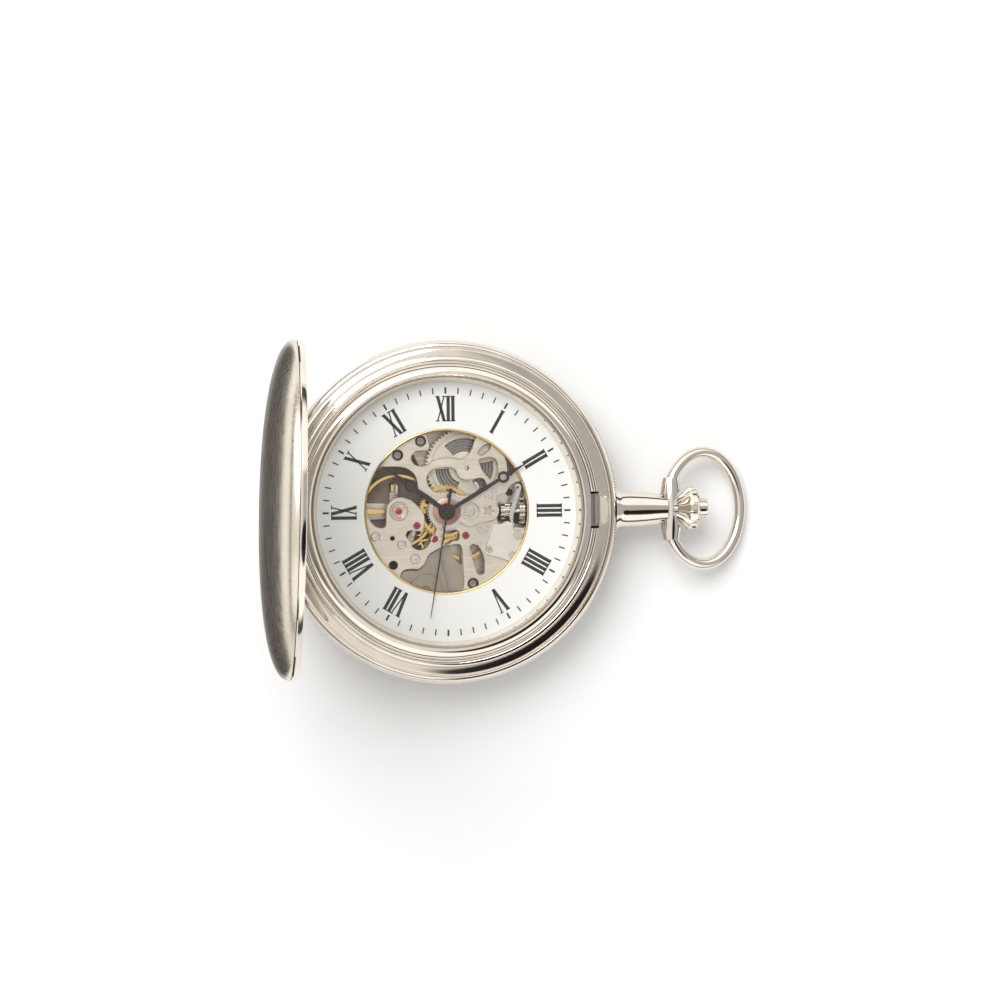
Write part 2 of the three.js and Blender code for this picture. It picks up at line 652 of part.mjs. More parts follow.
// ---------- winding work on the stem ----------
function toothedOnStem(teeth, tip, root, x0, x1, bore) {
  const outline = [];
  for (let i = 0; i < 2 * teeth; i += 1) {
    outline.push(new THREE.Vector2(...polar(CENTRE, i % 2 ? root : tip, (i * Math.PI) / teeth)));
  }
  const geometry = new THREE.ExtrudeGeometry(new THREE.Shape(outline), {
    depth: x1 - x0, bevelEnabled: false,
  });
  const body = toSolid(geometry.rotateY(Math.PI / 2).translate(x0, 0, STEM_Z));
  return cut(body, turnedOnStem([[0, x0 - 1], [bore, x0 - 1], [bore, x1 + 1], [0, x1 + 1]]));
}
add('winding_pinion', toothedOnStem(
  12, WINDING_PINION_R, WINDING_PINION_R - 0.35, WINDING_PINION_X, WINDING_PINION_X + 0.8, 0.45,
), steel);
add('sliding_clutch', toothedOnStem(10, 1.05, 0.75, 7.5, 9.3, 0.45), steel);

// ---------- time train ----------
const centreThird = pair(distance(CENTRE, THIRD), TEETH.centre, TEETH.thirdPinion);
const thirdFourth = pair(distance(THIRD, CENTRE), TEETH.third, TEETH.fourthPinion);
const fourthEscape = pair(distance(CENTRE, ESCAPE), TEETH.fourth, TEETH.escapePinion);
const [centrePhase, thirdPinionPhase] = meshPhases(CENTRE, THIRD, TEETH.thirdPinion);
const [thirdPhase, fourthPinionPhase] = meshPhases(THIRD, CENTRE, TEETH.fourthPinion);
const [fourthPhase, escapePinionPhase] = meshPhases(CENTRE, ESCAPE, TEETH.escapePinion);
const [cannonPhase, minutePhase] = meshPhases(CENTRE, MINUTE_WHEEL, TEETH.minute);
const [minutePinionPhase, hourPhase] = meshPhases(MINUTE_WHEEL, CENTRE, TEETH.hour);

const FOURTH_ARBOR_R = 0.22;
const TUBE_BORE = 0.3; // the centre arbor is hollow for the seconds arbor
const TUBE_R = 0.5;
const HOUR_PIPE_BORE = 0.58;
const HOUR_PIPE_R = 0.95;

function centreWheel() {
  const shape = gearShape(CENTRE, TEETH.centre, centreThird.a, centreThird.module, centrePhase);
  spokeWindows(shape, CENTRE, 1.15, 3.0, 5, 0.5, 18);
  const wheel = extruded(shape, 4.68, 4.86);
  const pinion = extruded(
    gearShape(CENTRE, TEETH.centrePinion, driving.b, driving.module, centrePinionPhase), 4.05, 4.7,
  );
  const tube = disc(CENTRE, TUBE_R, 4.0, 7.62);
  return cut(join(wheel, pinion, tube), disc(CENTRE, TUBE_BORE, 3, 9));
}

function thirdWheel() {
  const shape = gearShape(THIRD, TEETH.third, thirdFourth.a, thirdFourth.module, thirdPhase);
  spokeWindows(shape, THIRD, 0.9, 3.05, 4, 0.45, 20);
  const pinion = extruded(
    gearShape(THIRD, TEETH.thirdPinion, centreThird.b, centreThird.module, thirdPinionPhase), 4.4, 4.92,
  );
  return join(extruded(shape, 3.55, 3.72), pinion, disc(THIRD, 0.22, ARBOR_LOW, 4.5, 10));
}

function fourthWheel() {
  const shape = gearShape(CENTRE, TEETH.fourth, fourthEscape.a, fourthEscape.module, fourthPhase);
  spokeWindows(shape, CENTRE, 0.9, 3.15, 4, 0.45, 45);
  const pinion = extruded(
    gearShape(CENTRE, TEETH.fourthPinion, thirdFourth.b, thirdFourth.module, fourthPinionPhase), 3.4, 3.9,
  );
  return join(extruded(shape, 2.6, 2.77), pinion, disc(CENTRE, FOURTH_ARBOR_R, ARBOR_LOW, 7.9, 10));
}

function escapeWheel() {
  const tip = 2.3;
  const points = [];
  for (let i = 0; i < TEETH.escape; i += 1) {
    const a = (i / TEETH.escape) * 2 * Math.PI;
    const lean = 0.07;
    points.push(polar(ESCAPE, tip, a + lean), polar(ESCAPE, 1.85, a + 0.12));
  }
  const shape = new THREE.Shape(points.map(([x, y]) => new THREE.Vector2(x, y)));
  spokeWindows(shape, ESCAPE, 0.6, 1.6, 4, 0.3, 10);
  const pinion = extruded(
    gearShape(ESCAPE, TEETH.escapePinion, fourthEscape.b, fourthEscape.module, escapePinionPhase), 2.5, 2.9,
  );
  return join(extruded(shape, 3.15, 3.3), pinion, disc(ESCAPE, 0.18, ARBOR_LOW, ARBOR_TOP, 10));
}

// The stones stop short of the escape wheel, and the notch short of the impulse pin.
function palletFork() {
  const [low, high] = [3.12, 3.32];
  const toEscape = angleTo(PALLET, ESCAPE);
  const toBalance = angleTo(PALLET, BALANCE);
  const stone = (side) => polar(ESCAPE, 2.75, toEscape + Math.PI + side * 0.56);
  const notch = polar(PALLET, 2.0, toBalance);
  const horn = (side) => polar(PALLET, 2.25, toBalance + side * 0.14);
  const from = (side) => polar(PALLET, 1.85, toBalance + side * 0.14);
  return join(
    bar(PALLET, stone(1), 0.38, low, high), bar(PALLET, stone(-1), 0.38, low, high),
    bar(PALLET, notch, 0.3, low, high), bar(from(1), from(-1), 0.3, low, high),
    bar(from(1), horn(1), 0.2, low, high), bar(from(-1), horn(-1), 0.2, low, high),
    disc(PALLET, 0.38, low, high), disc(PALLET, 0.15, 2.73, ARBOR_TOP, 10),
  );
}

const BALANCE_R = 5.07;
function balanceWheel() {
  const rim = ring(BALANCE_R - 0.45, BALANCE_R, 3.55, 3.95, 32).translate([...BALANCE, 0]);
  const [x, y] = BALANCE;
  const reach = BALANCE_R - 0.2;
  const arm = box(x - reach, x + reach, y - 0.3, y + 0.3, 3.6, 3.85);
  const staff = disc(BALANCE, 0.2, ARBOR_LOW, ARBOR_TOP, 10);
  const roller = disc(BALANCE, 0.65, 3.1, 3.3);
  return join(rim, arm, staff, roller, disc(BALANCE, 0.7, 3.5, 4.0));
}

add('centre_wheel', centreWheel(), brass);
add('third_wheel', thirdWheel(), brass);
add('fourth_wheel', fourthWheel(), brass);
add('escape_wheel', escapeWheel(), steel);
add('pallet_fork', palletFork(), steel);
add('balance_wheel', balanceWheel(), brass);
add('hairspring', coiled(BALANCE, 0.5, 2.1, 3.5, 0.06, 2.55, 2.75), springSteel);
add('shock_jewel', join(
  disc(BALANCE, 1.25, PLATE_TOP + GAP, PLATE_TOP + 0.15, 24),
  disc(BALANCE, 0.46, PLATE_TOP + 0.1, PLATE_TOP + 0.25),
), ruby);

// ---------- motion work ----------
add('cannon_pinion', cut(
  extruded(
    gearShape(CENTRE, TEETH.cannon, minutes.a, minutes.module, cannonPhase), PLATE_TOP - 0.3, PLATE_TOP,
  ),
  disc(CENTRE, TUBE_R + GAP, 5, 7),
), steel);

function minuteWheel() {
  const wheel = gearShape(MINUTE_WHEEL, TEETH.minute, minutes.b, minutes.module, minutePhase);
  const pinion = gearShape(MINUTE_WHEEL, TEETH.minutePinion, hours.b, hours.module, minutePinionPhase);
  return join(
    extruded(wheel, PLATE_TOP - 0.25, PLATE_TOP - 0.08),
    extruded(pinion, PLATE_TOP - 0.1, PLATE_TOP + 0.4),
  );
}
add('minute_wheel', minuteWheel(), steel);

function hourWheel() {
  const toothed = gearShape(CENTRE, TEETH.hour, hours.a, hours.module, hourPhase);
  const wheel = extruded(toothed, PLATE_TOP + 0.06, PLATE_TOP + 0.24);
  const pipe = disc(CENTRE, HOUR_PIPE_R, PLATE_TOP + 0.1, 7.32);
  return cut(join(wheel, pipe), disc(CENTRE, HOUR_PIPE_BORE, 6, 8));
}
add('hour_wheel', hourWheel(), steel);
add('hour_washer', ring(HOUR_PIPE_R + 0.05, 1.87, PLATE_TOP + 0.3, PLATE_TOP + 0.38, 24), copper);

// ---------- hands ----------
// A Breguet hand: hub, tapering arm, a ring off the tip, and a fine point.
function breguet({ angle, length, ringAt, ringR, eyeR, width, hubR, bore, low, high }) {
  const before = polar(CENTRE, ringAt - ringR + 0.1, angle);
  const after = polar(CENTRE, ringAt + ringR - 0.1, angle);
  const tip = polar(CENTRE, length, angle);
  const arm = new THREE.Shape([
    polar(CENTRE, hubR * 0.8, angle + 0.3), polar(CENTRE, hubR * 0.8, angle - 0.3),
    polar(before, width / 2, angle - Math.PI / 2), polar(before, width / 2, angle + Math.PI / 2),
  ].map(([x, y]) => new THREE.Vector2(x, y)));
  const point = new THREE.Shape([
    polar(after, width * 0.6, angle - Math.PI / 2), tip, polar(after, width * 0.6, angle + Math.PI / 2),
  ].map(([x, y]) => new THREE.Vector2(x, y)));
  const body = join(
    disc(CENTRE, hubR, low, high, 20), extruded(arm, low, high), extruded(point, low, high),
    disc(polar(CENTRE, ringAt, angle), ringR, low, high, 20),
  );
  const eye = disc(polar(CENTRE, ringAt, angle), eyeR, low - 1, high + 1, 16);
  return cut(body, eye, disc(CENTRE, bore, low - 1, high + 1));
}

add('hour_hand', breguet({
  angle: HOUR_ANGLE, length: 10.7, ringAt: 6.1, ringR: 0.82, eyeR: 0.48, width: 0.5,
  hubR: 1.15, bore: HOUR_PIPE_R + 0.02, low: 7.12, high: 7.28,
}), blackSteel);
add('minute_hand', breguet({
  angle: MINUTE_ANGLE, length: 14.7, ringAt: 9.0, ringR: 0.78, eyeR: 0.45, width: 0.42,
  hubR: 0.95, bore: TUBE_R + 0.02, low: 7.44, high: 7.6,
}), blackSteel);

function secondsHand() {
  const [low, high] = [7.78, 7.9];
  const opposite = SECONDS_ANGLE + Math.PI;
  const tail = polar(CENTRE, 3.2, opposite);
  const tip = polar(CENTRE, 14.6, SECONDS_ANGLE);
  const beside = (at, half, direction, side) => polar(at, half, direction + (side * Math.PI) / 2);
  const blade = new THREE.Shape([
    beside(tail, 0.22, opposite, -1), beside(tail, 0.22, opposite, 1),
    beside(CENTRE, 0.12, opposite, 1), beside(tip, 0.06, SECONDS_ANGLE, -1),
    beside(tip, 0.06, SECONDS_ANGLE, 1), beside(CENTRE, 0.12, opposite, -1),
  ].map(([x, y]) => new THREE.Vector2(x, y)));
  const hub = join(disc(CENTRE, 0.72, low, high + 0.1, 20), disc(CENTRE, 0.4, high, high + 0.25));
  const bore = disc(CENTRE, FOURTH_ARBOR_R + 0.02, low - 1, high + 0.05, 10);
  return cut(join(extruded(blade, low, high), hub), bore);
}
add('seconds_hand', secondsHand(), blackSteel);

// ---------- screws ----------
function screw([x, y], headR, low, height) {
  const head = disc([x, y], headR, low, low + height, 16);
  const reach = headR + 1;
  const slot = [[x - reach, y - 0.4 * headR], [x + reach, y + 0.4 * headR]];
  return cut(head, bar(...slot, headR * 0.22, low + height / 2, low + height + 1));
}
[[9.74, -3.3], [8.5, -5.6]].forEach((at, i) => {
  add(`setting_plate_screw_${i + 1}`, screw(at, 0.5, keylessLow + 0.25 + GAP, 0.2), steel);
});
add('motion_bridge_screw', screw([5.84, 2.23], 0.55, PLATE_TOP + 0.55 + GAP, 0.18), steel);

// The movement is clamped to its ring by two screws whose heads overlap both.
[100, 280].forEach((degrees, i) => {
  const at = polar(CENTRE, 16.2, THREE.MathUtils.degToRad(degrees));
  add(`case_screw_${i + 1}`, disc(at, 0.9, 2.85, 3.2 - GAP, 16), steel);
});

export default watch;
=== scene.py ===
"""Looks, light and camera of the pocket watch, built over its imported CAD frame.

Lengths are millimetres until a mesh is made. +Z is out of the dial, +X points to the crown,
+Y to twelve o'clock. Sizes and axes shared with the CAD are read from the frame.
"""
import json
import math

import bmesh
import bpy
from mathutils import Matrix, Vector


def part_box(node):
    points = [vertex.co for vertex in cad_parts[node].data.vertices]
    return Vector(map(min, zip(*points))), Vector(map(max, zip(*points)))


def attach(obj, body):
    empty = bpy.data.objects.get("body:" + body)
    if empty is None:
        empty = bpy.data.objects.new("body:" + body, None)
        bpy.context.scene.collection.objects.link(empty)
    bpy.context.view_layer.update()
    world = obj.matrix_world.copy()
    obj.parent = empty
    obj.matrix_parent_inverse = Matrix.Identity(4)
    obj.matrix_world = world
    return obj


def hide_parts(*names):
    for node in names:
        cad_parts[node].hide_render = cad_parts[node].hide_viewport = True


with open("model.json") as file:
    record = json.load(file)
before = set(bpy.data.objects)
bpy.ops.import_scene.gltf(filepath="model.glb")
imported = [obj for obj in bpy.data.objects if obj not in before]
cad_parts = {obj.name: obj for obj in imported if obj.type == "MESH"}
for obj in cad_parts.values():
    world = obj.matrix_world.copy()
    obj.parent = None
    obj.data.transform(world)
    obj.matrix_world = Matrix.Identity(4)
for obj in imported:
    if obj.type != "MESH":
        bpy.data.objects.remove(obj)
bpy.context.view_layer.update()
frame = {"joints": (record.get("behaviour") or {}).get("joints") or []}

MM = 0.001
SIDES = 240  # of the large turned rings
FEW_SIDES = 48  # of the small turned pieces


def span(node):
    """Lowest and highest corner of a CAD node, in millimetres."""
    low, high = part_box(node)
    return low / MM, high / MM


def centre_of(node):
    low, high = span(node)
    return (low + high) / 2


def pivot(name):
    """A joint's place, in millimetres."""
    joint = next(j for j in frame["joints"] if j["name"] == name)
    return Vector(joint["pos_m"]) / MM


# ------------------------------------------------------------------ driving dimensions
CASE_R = span("case_band")[1].x
BACK_R = span("case_back")[1].x
LEDGE_Z = 8.0
BEZEL_TOP = span("bezel")[1].z
STEM_Z = pivot("crown_spin").z
BOW_X = pivot("bow_swing").x
CROWN_X = span("crown")[0].x
HINGE = pivot("cover_hinge")
HINGE_R = math.hypot(HINGE.x, HINGE.y)
HINGE_TURN = -math.atan2(HINGE.y, -HINGE.x)

DIAL_LOW = span("dial")[0].z
DIAL_TOP = span("dial")[1].z
DIAL_R = span("dial")[1].x
APERTURE_R = span("aperture_ring")[1].x
PLATE_LOW = span("main_plate")[0].z
PLATE_TOP = span("main_plate")[1].z
PLATE_R = span("main_plate")[1].x

BARREL = pivot("barrel_spin").xy
THIRD = pivot("third_wheel_spin").xy
CROWN_WHEEL = (9.0, 2.55)
SETTING_WHEEL = (4.9, -2.2)
ESCAPE = pivot("escape_spin").xy
PALLET = pivot("pallet_rock").xy
BALANCE = pivot("balance_swing").xy
MINUTE_WHEEL = pivot("minute_wheel_spin").xy
CENTRE = Vector((0, 0))

HOUR_ANGLE = math.radians(90 - 306)
MINUTE_ANGLE = math.radians(90 - 59.2)
SECONDS_ANGLE = math.radians(90 - 189.7)


# ------------------------------------------------------------------ materials
class Look:
    """A material with a Principled shader and helpers for its procedural detail."""

    def __init__(self, name, colour, roughness, metallic=1.0):
        self.material = bpy.data.materials.new(name)
        self.material.use_nodes = True
        self.tree = self.material.node_tree
        self.shader = self.tree.nodes["Principled BSDF"]
        self.shader.inputs["Base Color"].default_value = (*colour, 1)
        self.shader.inputs["Roughness"].default_value = roughness
        self.shader.inputs["Metallic"].default_value = metallic
        self.colour = colour
        self.roughness = roughness

    def node(self, kind, **settings):
        made = self.tree.nodes.new(kind)
        for key, value in settings.items():
            setattr(made, key, value)
        return made

    def link(self, source, target):
        self.tree.links.new(source, target)

    def noise(self, per_mm, stretch=(1, 1, 1), detail=3.0):
        """Noise over the piece; per_mm is how many grains a millimetre holds."""
        place = self.node("ShaderNodeTexCoord")
        mapping = self.node("ShaderNodeMapping")
        mapping.inputs["Scale"].default_value = [s / MM for s in stretch]
        noise = self.node("ShaderNodeTexNoise")
        noise.inputs["Scale"].default_value = per_mm
        noise.inputs["Detail"].default_value = detail
        self.link(place.outputs["Object"], mapping.inputs["Vector"])
        self.link(mapping.outputs["Vector"], noise.inputs["Vector"])
        return noise.outputs["Fac"]

    def vary_roughness(self, source, amount):
        spread = self.node("ShaderNodeMapRange")
        spread.inputs["From Min"].default_value = 0.3
        spread.inputs["From Max"].default_value = 0.7
        spread.inputs["To Min"].default_value = max(0.01, self.roughness - amount)
        spread.inputs["To Max"].default_value = self.roughness + amount
        self.link(source, spread.inputs["Value"])
        self.link(spread.outputs["Result"], self.shader.inputs["Roughness"])

    def vary_colour(self, source, shade):
        ramp = self.node("ShaderNodeValToRGB")
        ramp.color_ramp.elements[0].position = 0.3
        ramp.color_ramp.elements[1].position = 0.7
        ramp.color_ramp.elements[0].color = (*[c * shade for c in self.colour], 1)
        ramp.color_ramp.elements[1].color = (*self.colour, 1)
        self.link(source, ramp.inputs["Fac"])
        self.link(ramp.outputs["Color"], self.shader.inputs["Base Color"])

    def bump(self, source, depth_mm, strength=1.0):
        bump = self.node("ShaderNodeBump")
        bump.inputs["Distance"].default_value = depth_mm * MM
        bump.inputs["Strength"].default_value = strength
        self.link(source, bump.inputs["Height"])
        self.link(bump.outputs["Normal"], self.shader.inputs["Normal"])


def finished(name, colour, roughness, per_mm, stretch=(1, 1, 1), depth_mm=0.0006, spread=0.04,
             shade=0.9, metallic=1.0):
    """A finish whose grain changes its gloss and relief, with slow clouds in its colour."""
    look = Look(name, colour, roughness, metallic)
    grain = look.noise(per_mm, stretch)
    look.vary_roughness(grain, spread)
    look.bump(grain, depth_mm)
    look.vary_colour(look.noise(0.25, detail=2.0), shade)
    return look


def crystal_look():
    """A flat mineral crystal: clear straight on, with a mirror sheen at low angles."""
    look = Look("crystal", (1, 1, 1), 0.03)
    look.vary_roughness(look.noise(1.5), 0.01)
    tilt = look.node("ShaderNodeLayerWeight")
    tilt.inputs["Blend"].default_value = 0.5
    rise = look.node("ShaderNodeMath", operation="POWER")
    rise.inputs[1].default_value = 3.0
    sheen = look.node("ShaderNodeMapRange")
    sheen.inputs["To Min"].default_value = 0.012
    sheen.inputs["To Max"].default_value = 0.45
    look.link(tilt.outputs["Facing"], rise.inputs[0])
    look.link(rise.outputs["Value"], sheen.inputs["Value"])
    look.link(sheen.outputs["Result"], look.shader.inputs["Alpha"])
    return look


POLISH = (0.86, 0.80, 0.715)
NICKEL = (0.78, 0.71, 0.60)
LOOKS = {
    "polished_case": finished("polished_case", POLISH, 0.07, 3, depth_mm=0.0002, spread=0.03),
    "satin_cover": finished("satin_cover", (0.80, 0.735, 0.62), 0.3, 4, (1, 0.06, 1), 0.003, 0.06),
    "crystal": crystal_look(),
    "seal": finished("seal", (0.32, 0.25, 0.18), 0.45, 6, metallic=0.3),
    "steel": finished("steel", (0.72, 0.69, 0.64), 0.2, 8, (0.1, 1, 1), 0.001),
    "spring_steel": finished("spring_steel", (0.36, 0.34, 0.31), 0.33, 6),
    "dial_white": finished("dial_white", (0.8, 0.81, 0.79), 0.4, 10, depth_mm=0.0004,
                           shade=0.985, metallic=0.0),
    "gilt": finished("gilt", (0.86, 0.60, 0.24), 0.2, 8, (0.1, 1, 1), 0.001),
    "nickel_plate": finished("nickel_plate", NICKEL, 0.34, 7, (0.04, 1, 1), 0.006, 0.1, 0.85),
    "ruby": finished("ruby", (0.42, 0.02, 0.10), 0.08, 3, metallic=0.0, shade=0.6),
    "copper": finished("copper", (0.5, 0.285, 0.215), 0.42, 8),
    "black_steel": finished("black_steel", (0.045, 0.038, 0.036), 0.32, 6, metallic=0.5),
}
# Its dark brown tone is painted shade of the deep room under the balance; its roughness and grain are the
# back's satin finish.
INNER_SATIN_PAINTED_SHADE = finished("inner_satin_painted_shade", (0.3, 0.235, 0.185), 0.4, 5, (1, 0.1, 1), 0.003, shade=0.6)
# Painted shade: the lower level's darker tone stands for the shade of its recess under the upper plate; its
# brushed grain is real.
LOWER_BRUSHED_PAINTED_SHADE = finished("lower_brushed_painted_shade", (0.43, 0.375, 0.30), 0.36, 6, (1, 0.05, 1), 0.005, 0.1, 0.8)
SETTING_FINISH = finished("setting_finish", (0.93, 0.88, 0.79), 0.2, 7, (0.05, 1, 1), 0.002, 0.05)
PRINT_BLACK = finished("print_black", (0.02, 0.019, 0.02), 0.35, 12, metallic=0.0)


# ------------------------------------------------------------------ mesh helpers
def flatten(points):
    return [tuple(p) for p in points]


def solid_from(name, points, faces):
    """A mesh in millimetres; doubled points are merged and faces point outwards."""
    mesh = bpy.data.meshes.new(name)
    mesh.from_pydata(flatten(points), [], faces)
    clean(mesh)
    return mesh


def clean(mesh, merge=1e-4):
    work = bmesh.new()
    work.from_mesh(mesh)
    bmesh.ops.remove_doubles(work, verts=work.verts, dist=merge)
    bmesh.ops.dissolve_degenerate(work, edges=work.edges, dist=merge / 10)
    bmesh.ops.recalc_face_normals(work, faces=work.faces)
    work.to_mesh(mesh)
    work.free()


def turned(profile, sides=FEW_SIDES, at=CENTRE, matrix=None):
    """A closed outline of (radius, height) turned about a vertical axis at a point."""
    points, faces = [], []
    count = len(profile)
    for i in range(sides):
        angle = 2 * math.pi * i / sides
        for r, z in profile:
            points.append((at[0] + r * math.cos(angle), at[1] + r * math.sin(angle), z))
    for i in range(sides):
        ahead = (i + 1) % sides
        for j in range(count):
            k = (j + 1) % count
            faces.append((i * count + j, ahead * count + j, ahead * count + k, i * count + k))
    mesh = solid_from("turned", points, faces)
    if matrix:
        mesh.transform(matrix)
    return mesh


ALONG_X = Matrix.Translation((0, 0, STEM_Z)) @ Matrix.Rotation(math.pi / 2, 4, "Y")
Z_TO_Y = Matrix.Rotation(-math.pi / 2, 4, "X")


def along_y(x, z):
    return Matrix.Translation((x, 0, z)) @ Z_TO_Y


def pin(at, r, low, high, edge=0.04, sides=32):
    """A round pin with a small chamfer at its top."""
    profile = [(0, low), (r, low), (r, high - edge), (r - edge, high), (0, high)]
    return turned(profile, sides, at)


def ring(at, inner, outer, low, high, edge=0.03, sides=64):
    profile = [
        (inner, low), (outer, low), (outer, high - edge), (outer - edge, high),
        (inner + edge, high), (inner, high - edge),
    ]
    return turned(profile, sides, at)


def flat(outline, low, high, holes=(), bevel=0.04):
    """A plate of closed outlines in the plane, with bevelled edges."""
    curve = bpy.data.curves.new("outline", "CURVE")
    curve.dimensions = "2D"
    curve.fill_mode = "BOTH"
    curve.extrude = (high - low) / 2 - bevel
    curve.bevel_depth = bevel
    curve.bevel_resolution = 0
    curve.offset = -bevel
    for points in [outline, *holes]:
        spline = curve.splines.new("POLY")
        spline.points.add(len(points) - 1)
        for slot, point in zip(spline.points, points):
            slot.co = (point[0], point[1], 0, 1)
        spline.use_cyclic_u = True
    holder = bpy.data.objects.new("outline", curve)
    bpy.context.scene.collection.objects.link(holder)
    graph = bpy.context.evaluated_depsgraph_get()
    mesh = bpy.data.meshes.new_from_object(holder.evaluated_get(graph))
    bpy.data.objects.remove(holder)
    bpy.data.curves.remove(curve)
    mesh.transform(Matrix.Translation((0, 0, (low + high) / 2)))
    mesh.materials.clear()
    clean(mesh)
    return mesh


def prism(outline, low, high):
    """A thin straight-sided plate of one simple outline."""
    count = len(outline)
    points = [(x, y, z) for z in (low, high) for x, y in outline]
    faces = [tuple(range(count))[::-1], tuple(range(count, 2 * count))]
    for i in range(count):
        k = (i + 1) % count
        faces.append((i, k, count + k, count + i))
    return solid_from("prism", points, faces)


def ring_faces(count, around, looped=False):
    """Faces that join rings of points in turn, back to the first or else closed by flat ends."""
    faces = []
    for a in range(count if looped else count - 1):
        b = (a + 1) % count
        for i in range(around):
            k = (i + 1) % around
            faces.append((a * around + i, a * around + k, b * around + k, b * around + i))
    if not looped:
        faces.append(tuple(range(around))[::-1])
        faces.append(tuple(range((count - 1) * around, count * around)))
    return faces


def tube(path, radii, sides=24):
    """A round bar swept along points in space, with flat ends."""
    points = []
    path = [Vector(p) for p in path]
    side = None
    for i, point in enumerate(path):
        ahead = path[min(i + 1, len(path) - 1)] - path[max(i - 1, 0)]
        ahead.normalize()
        if side is None:
            side = ahead.orthogonal()
        side = (side - ahead * side.dot(ahead)).normalized()
        up = ahead.cross(side)
        for j in range(sides):
            angle = 2 * math.pi * j / sides
            points.append(point + radii[i] * (math.cos(angle) * side + math.sin(angle) * up))
    return solid_from("tube", points, ring_faces(len(path), sides))


def merged(*meshes):
    """Several closed meshes as one."""
    work = bmesh.new()
    for mesh in meshes:
        work.from_mesh(mesh)
    whole = bpy.data.meshes.new("merged")
    work.to_mesh(whole)
    work.free()
    return whole


def boolean(mesh, tool, operation="DIFFERENCE"):
    """mesh with tool cut from it, or joined to it."""
    body = bpy.data.objects.new("body", mesh)
    other = bpy.data.objects.new("tool", tool)
    for o in (body, other):
        bpy.context.scene.collection.objects.link(o)
    step = body.modifiers.new("cut", "BOOLEAN")
    step.operation = operation
    step.solver = "EXACT"
    step.object = other
    graph = bpy.context.evaluated_depsgraph_get()
    made = bpy.data.meshes.new_from_object(body.evaluated_get(graph))
    bpy.data.objects.remove(body)
    bpy.data.objects.remove(other)
    clean(made)
    return made


def block(x0, x1, y0, y1, z0, z1):
    return prism([(x0, y0), (x1, y0), (x1, y1), (x0, y1)], z0, z1)


def piece(name, mesh, look, body, nodes=(), smooth=35):
    """Puts a millimetre mesh into the scene as one named piece that rides on a CAD body."""
    mesh.transform(Matrix.Scale(MM, 4))
    mesh.name = name
    mesh.materials.clear()
    mesh.materials.append((LOOKS[look] if isinstance(look, str) else look).material)
    for polygon in mesh.polygons:
        polygon.use_smooth = True
    mesh.set_sharp_from_angle(angle=math.radians(smooth))
    made = bpy.data.objects.new(name, mesh)
    bpy.context.scene.collection.objects.link(made)
    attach(made, body)
    if nodes:
        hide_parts(*nodes)
    return made


# ------------------------------------------------------------------ outline helpers
def polar(at, r, angle):
    return (at[0] + r * math.cos(angle), at[1] + r * math.sin(angle))


def circle(at, r, count=40, start=0.0):
    return [polar(at, r, start + 2 * math.pi * i / count) for i in range(count)]


def arc(at, r, start, stop, count=24):
    """Points on an arc between two angles in degrees."""
    return [polar(at, r, math.radians(start + (stop - start) * i / (count - 1)))
            for i in range(count)]


def band(at, inner, outer, start, stop, count=24):
    return arc(at, outer, start, stop, count) + arc(at, inner, stop, start, count)


def rounded(points, steps=5):
    """A closed curve that passes smoothly through the points."""
    smooth = []
    count = len(points)
    for i in range(count):
        p0, p1, p2, p3 = [Vector(points[(i + k) % count]) for k in (-1, 0, 1, 2)]
        for s in range(steps):
            t = s / steps
            smooth.append(tuple(0.5 * (
                2 * p1 + (p2 - p0) * t + (2 * p0 - 5 * p1 + 4 * p2 - p3) * t * t
                + (3 * p1 - p0 - 3 * p2 + p3) * t ** 3)))
    return smooth


def toothed(at, teeth, tip, root, phase=0.0, flank=0.22):
    """A wheel's outline, each tooth a small trapezium."""
    points = []
    step = 2 * math.pi / teeth
    for i in range(teeth):
        middle = phase + i * step
        points += [polar(at, root, middle - step * 0.34), polar(at, tip, middle - step * flank / 2),
                   polar(at, tip, middle + step * flank / 2), polar(at, root, middle + step * 0.34)]
    return points


def spoke_windows(at, inner, outer, count, spoke, phase=0.0):
    """The gaps between the spokes of a wheel; spoke is the spoke's width."""
    windows = []
    step = 360 / count
    for i in range(count):
        near, far = [math.degrees(math.asin(spoke / 2 / r)) for r in (inner, outer)]
        start = phase + i * step
        windows.append(arc(at, outer, start + far, start + step - far, 16)
                       + arc(at, inner, start + step - near, start + near, 10))
    return windows


# ------------------------------------------------------------------ case
CATCH_SLOT = {"x0": 19.4, "x1": 20.65, "half": 2.5}
GUARD_TOP = LEDGE_Z + 0.01


def catch_room():
    half = CATCH_SLOT["half"]
    return block(CATCH_SLOT["x0"], CATCH_SLOT["x1"], -half, half, 6.0, 11.0)


def case_band():
    profile = [
        (18.9, 6.95), (21.9, 6.95), (21.9, 2.6), (22.35, 2.0), (22.75, 2.15), (23.0, 2.5),
        (23.1, 3.1), (23.1, 7.1), (23.16, 7.3), (23.1, 7.62), (22.95, 7.88), (22.75, 8.05),
        (22.58, 8.09), (22.47, 8.02), (22.42, 7.85), (22.4, 7.2), (22.2, 7.2), (22.18, 7.86),
        (22.12, 7.93), (22.04, 7.96), (21.16, 8.02), (21.12, 7.92), (21.06, 7.92), (21.03, 8.06),
        (20.98, 8.13), (20.9, 8.17), (20.6, 8.21), (20.5, 8.17), (20.45, 8.02),
        (20.42, 7.3), (20.2, 7.3), (20.15, 7.85), (18.9, 7.85),
    ]
    bezel_seat = turned(profile, SIDES)
    stem_hole = turned([(0, 20), (1.5, 20), (1.5, 24), (0, 24)], 32, matrix=ALONG_X)
    pocket = prism(guard_outline(0.09), 7.6, 9.0)
    return boolean(boolean(boolean(bezel_seat, stem_hole), catch_room()), pocket)


